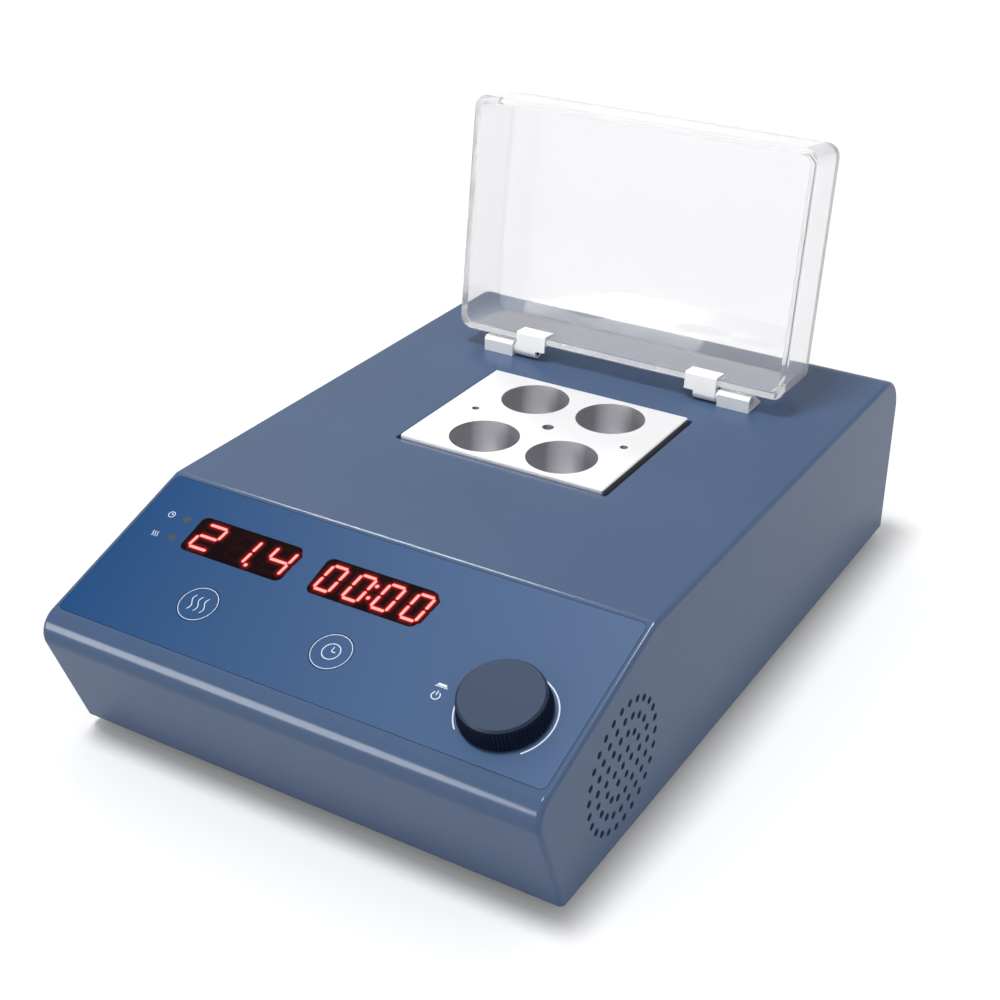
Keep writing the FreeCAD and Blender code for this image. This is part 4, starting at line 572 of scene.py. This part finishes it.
def display_digits(name, digits, first_left, pitch, width, dots):
    """Lit and unlit segments of one display, with round dots."""
    core = bmesh.new()
    dark = bmesh.new()
    halos = [bmesh.new() for halo in HALOS]

    def segment(start, stop, grow=0.0):
        return segment_outline(*start, *stop, SEGMENT_WIDTH + grow, SEGMENT_GAP - grow / 2)

    for index, digit in enumerate(digits):
        on, off = digit_segments(first_left + index * pitch, width, SEGMENTS[digit])
        for start, stop in on:
            lit_shape(core, halos, lambda grow: segment(start, stop, grow))
        for start, stop in off:
            add_prism(dark, segment(start, stop), SEGMENT_LOW, UNLIT_HIGH)
    for x, down in dots:
        lit_shape(core, halos, lambda grow: arc_points(x, down, DOT_RADIUS + grow / 2, 0, 345, 23))
    finish_mesh(core, name + "_lit", GLOW, "chassis")
    for level, (grow, look) in enumerate(HALOS):
        finish_mesh(halos[level], "%s_halo_%d" % (name, level + 1), look, "chassis")
    if dark.faces:
        finish_mesh(dark, name + "_unlit", UNLIT, "chassis")
    else:
        dark.free()


def add_round(mesh, centre, axis, rings, steps=24):
    """Closed turned form: rings of (radius, height) along an axis from its centre."""
    up = Vector(axis)
    side = up.orthogonal().normalized()
    ahead = up.cross(side)
    loops = []
    for radius, height in rings:
        loop = []
        for index in range(steps):
            turn = 2 * math.pi * index / steps
            reach = side * math.cos(turn) + ahead * math.sin(turn)
            loop.append(mesh.verts.new(Vector(centre) + (reach * radius + up * height) * MM))
        loops.append(loop)
    for low, high in zip(loops, loops[1:]):
        for index in range(steps):
            after = (index + 1) % steps
            mesh.faces.new((low[index], low[after], high[after], high[index]))
    mesh.faces.new(loops[0])
    mesh.faces.new(loops[-1])


def screw_heads(name, places, axis, radius, height):
    """Round-edged screw heads, each with a black six-sided disc as painted shade for its socket, axis
    pointing out of the head.
    """
    heads = bmesh.new()
    socket_shades = bmesh.new()
    for place in places:
        add_round(heads, place, axis, [(radius, 0), (radius, height * 0.5), (radius * 0.86, height * 0.9),
                                       (radius * 0.6, height)])
        # Painted shade: a black six-sided disc sits in each head and shows just above its top, where the
        # socket's shade would be
        add_round(socket_shades, place, axis, [(radius * 0.42, height * 0.5), (radius * 0.42, height * 1.01)], 6)
    finish_mesh(heads, name, MATERIALS["screw_steel"], "chassis")
    finish_mesh(socket_shades, name + "_sockets", MATERIALS["black_plastic"], "chassis")


def mirrored(xs, ys, z):
    """Places at the same distances on both sides of the middle."""
    return [(side * x * MM, y * MM, z * MM) for side in (-1, 1) for x in xs for y in ys]


def fasteners():
    """Screws of the base plate, the feet and the hinge blocks."""
    base = mirrored((BASE_SCREW_X,), BASE_SCREW_YS, BASE_SCREW_SEAT)
    screw_heads("base_screws", base, (0, 0, -1), *BASE_SCREW_HEAD)
    feet = mirrored((FOOT_SCREW_X,), FOOT_SCREW_YS, FOOT_SCREW_SEAT)
    screw_heads("foot_screws", feet, (0, 0, -1), *FOOT_SCREW_HEAD)
    hinges = mirrored(HINGE_SCREW_XS, (HINGE_SCREW_Y,), HINGE_SCREW_SEAT)
    screw_heads("hinge_screws", hinges, (0, 0, 1), *HINGE_SCREW_HEAD)


def lid_point(x, rise, depth):
    """Point on the open lid: across, up from the pin's axis, back from it."""
    y = PIN_Y + depth * math.cos(LID_LEAN) + rise * math.sin(LID_LEAN)
    z = PIN_Z - depth * math.sin(LID_LEAN) + rise * math.cos(LID_LEAN)
    return Vector((x, y, z)) * MM


def lid_rim_highlight():
    """Milky sheet on the lower face of the lid's rim, a painted highlight for the light of the wall coming
    out there.
    """
    mesh = bmesh.new()
    low, high = STRIP_RISES
    corners = ((-STRIP_REACH, low), (STRIP_REACH, low), (STRIP_REACH, high), (-STRIP_REACH, high))
    rings = []
    for depth in STRIP_DEPTHS:
        rings.append([mesh.verts.new(lid_point(x, rise, depth)) for x, rise in corners])
    mesh.faces.new(rings[0])
    mesh.faces.new(rings[1])
    for index in range(4):
        after = (index + 1) % 4
        mesh.faces.new((rings[0][index], rings[0][after], rings[1][after], rings[1][index]))
    finish_mesh(mesh, "lid_rim_highlight", rim_highlight_material(), "lid_body")


fasteners()
lid_rim_highlight()
printed_marks()
for name, layout in DISPLAYS.items():
    display_digits(name, *layout)


# Floor, lights and camera

def floor():
    """Wide pale sweep under the object."""
    material, tree, shader = new_material("floor_look")
    tone = noise(tree, 0.6)
    colours = ramp(tree, tone.outputs["Fac"], (0.80, 0.80, 0.80, 1), (0.82, 0.82, 0.82, 1))
    tree.links.new(colours.outputs["Color"], shader.inputs["Base Color"])
    tree.links.new(colours.outputs["Color"], shader.inputs["Emission Color"])
    shader.inputs["Emission Strength"].default_value = 0.08
    shader.inputs["Roughness"].default_value = 0.9
    shader.inputs["Specular IOR Level"].default_value = 0.1
    mesh = bmesh.new()
    reach = 6.0
    corners = [mesh.verts.new((sx * reach, sy * reach, 0)) for sx, sy in ((-1, -1), (1, -1), (1, 1), (-1, 1))]
    mesh.faces.new(corners)
    data = bpy.data.meshes.new("floor")
    mesh.to_mesh(data)
    mesh.free()
    data.materials.append(material)
    piece = bpy.data.objects.new("floor", data)
    bpy.context.scene.collection.objects.link(piece)


def sun_light(name, towards, strength, spread_degrees):
    """Distant soft light shining from a direction."""
    data = bpy.data.lights.new(name, "SUN")
    data.energy = strength
    data.angle = math.radians(spread_degrees)
    lamp = bpy.data.objects.new(name, data)
    lamp.rotation_euler = Vector(towards).to_track_quat("Z", "Y").to_euler()
    bpy.context.scene.collection.objects.link(lamp)
    return lamp


def lights():
    """White surroundings, a high key light, and lights that only glint along the rounded edges."""
    world = bpy.data.worlds.new("studio")
    world.use_nodes = True
    background = world.node_tree.nodes["Background"]
    background.inputs["Color"].default_value = (1.0, 1.0, 1.0, 1)
    background.inputs["Strength"].default_value = 0.60
    bpy.context.scene.world = world
    sun_light("key_light", (-0.12, -0.22, 0.96), 2.2, 14.0)
    glints = [
        sun_light("break_light", (-0.49, 0.52, 0.70), 1.3, 12.0),
        sun_light("edge_light", (0.22, 0.32, 0.91), 2.8, 10.0),
        sun_light("nose_light", (-0.55, -0.80, 0.20), 3.2, 26.0),
    ]
    for lamp in glints:
        lamp.visible_diffuse = False
        lamp.visible_transmission = False


def camera():
    """Camera at the photograph's place and angle."""
    data = bpy.data.cameras.new("camera")
    data.sensor_width = 36.0
    data.lens = 60.38
    data.clip_start = 0.01
    data.clip_end = 50.0
    right = Vector((0.8561913, 0.5166316, 0.0053097))
    up = Vector((-0.2496591, 0.4047081, 0.8797055))
    forward = Vector((-0.4523347, 0.7545218, -0.4754893))
    place = Matrix((right, up, -forward)).transposed().to_4x4()
    place.translation = Vector((0.31201, -0.53094, 0.39714))
    piece = bpy.data.objects.new("camera", data)
    piece.matrix_world = place
    bpy.context.scene.collection.objects.link(piece)
    bpy.context.scene.camera = piece


floor()
lights()
camera()
bpy.context.scene.view_settings.view_transform = "Standard"
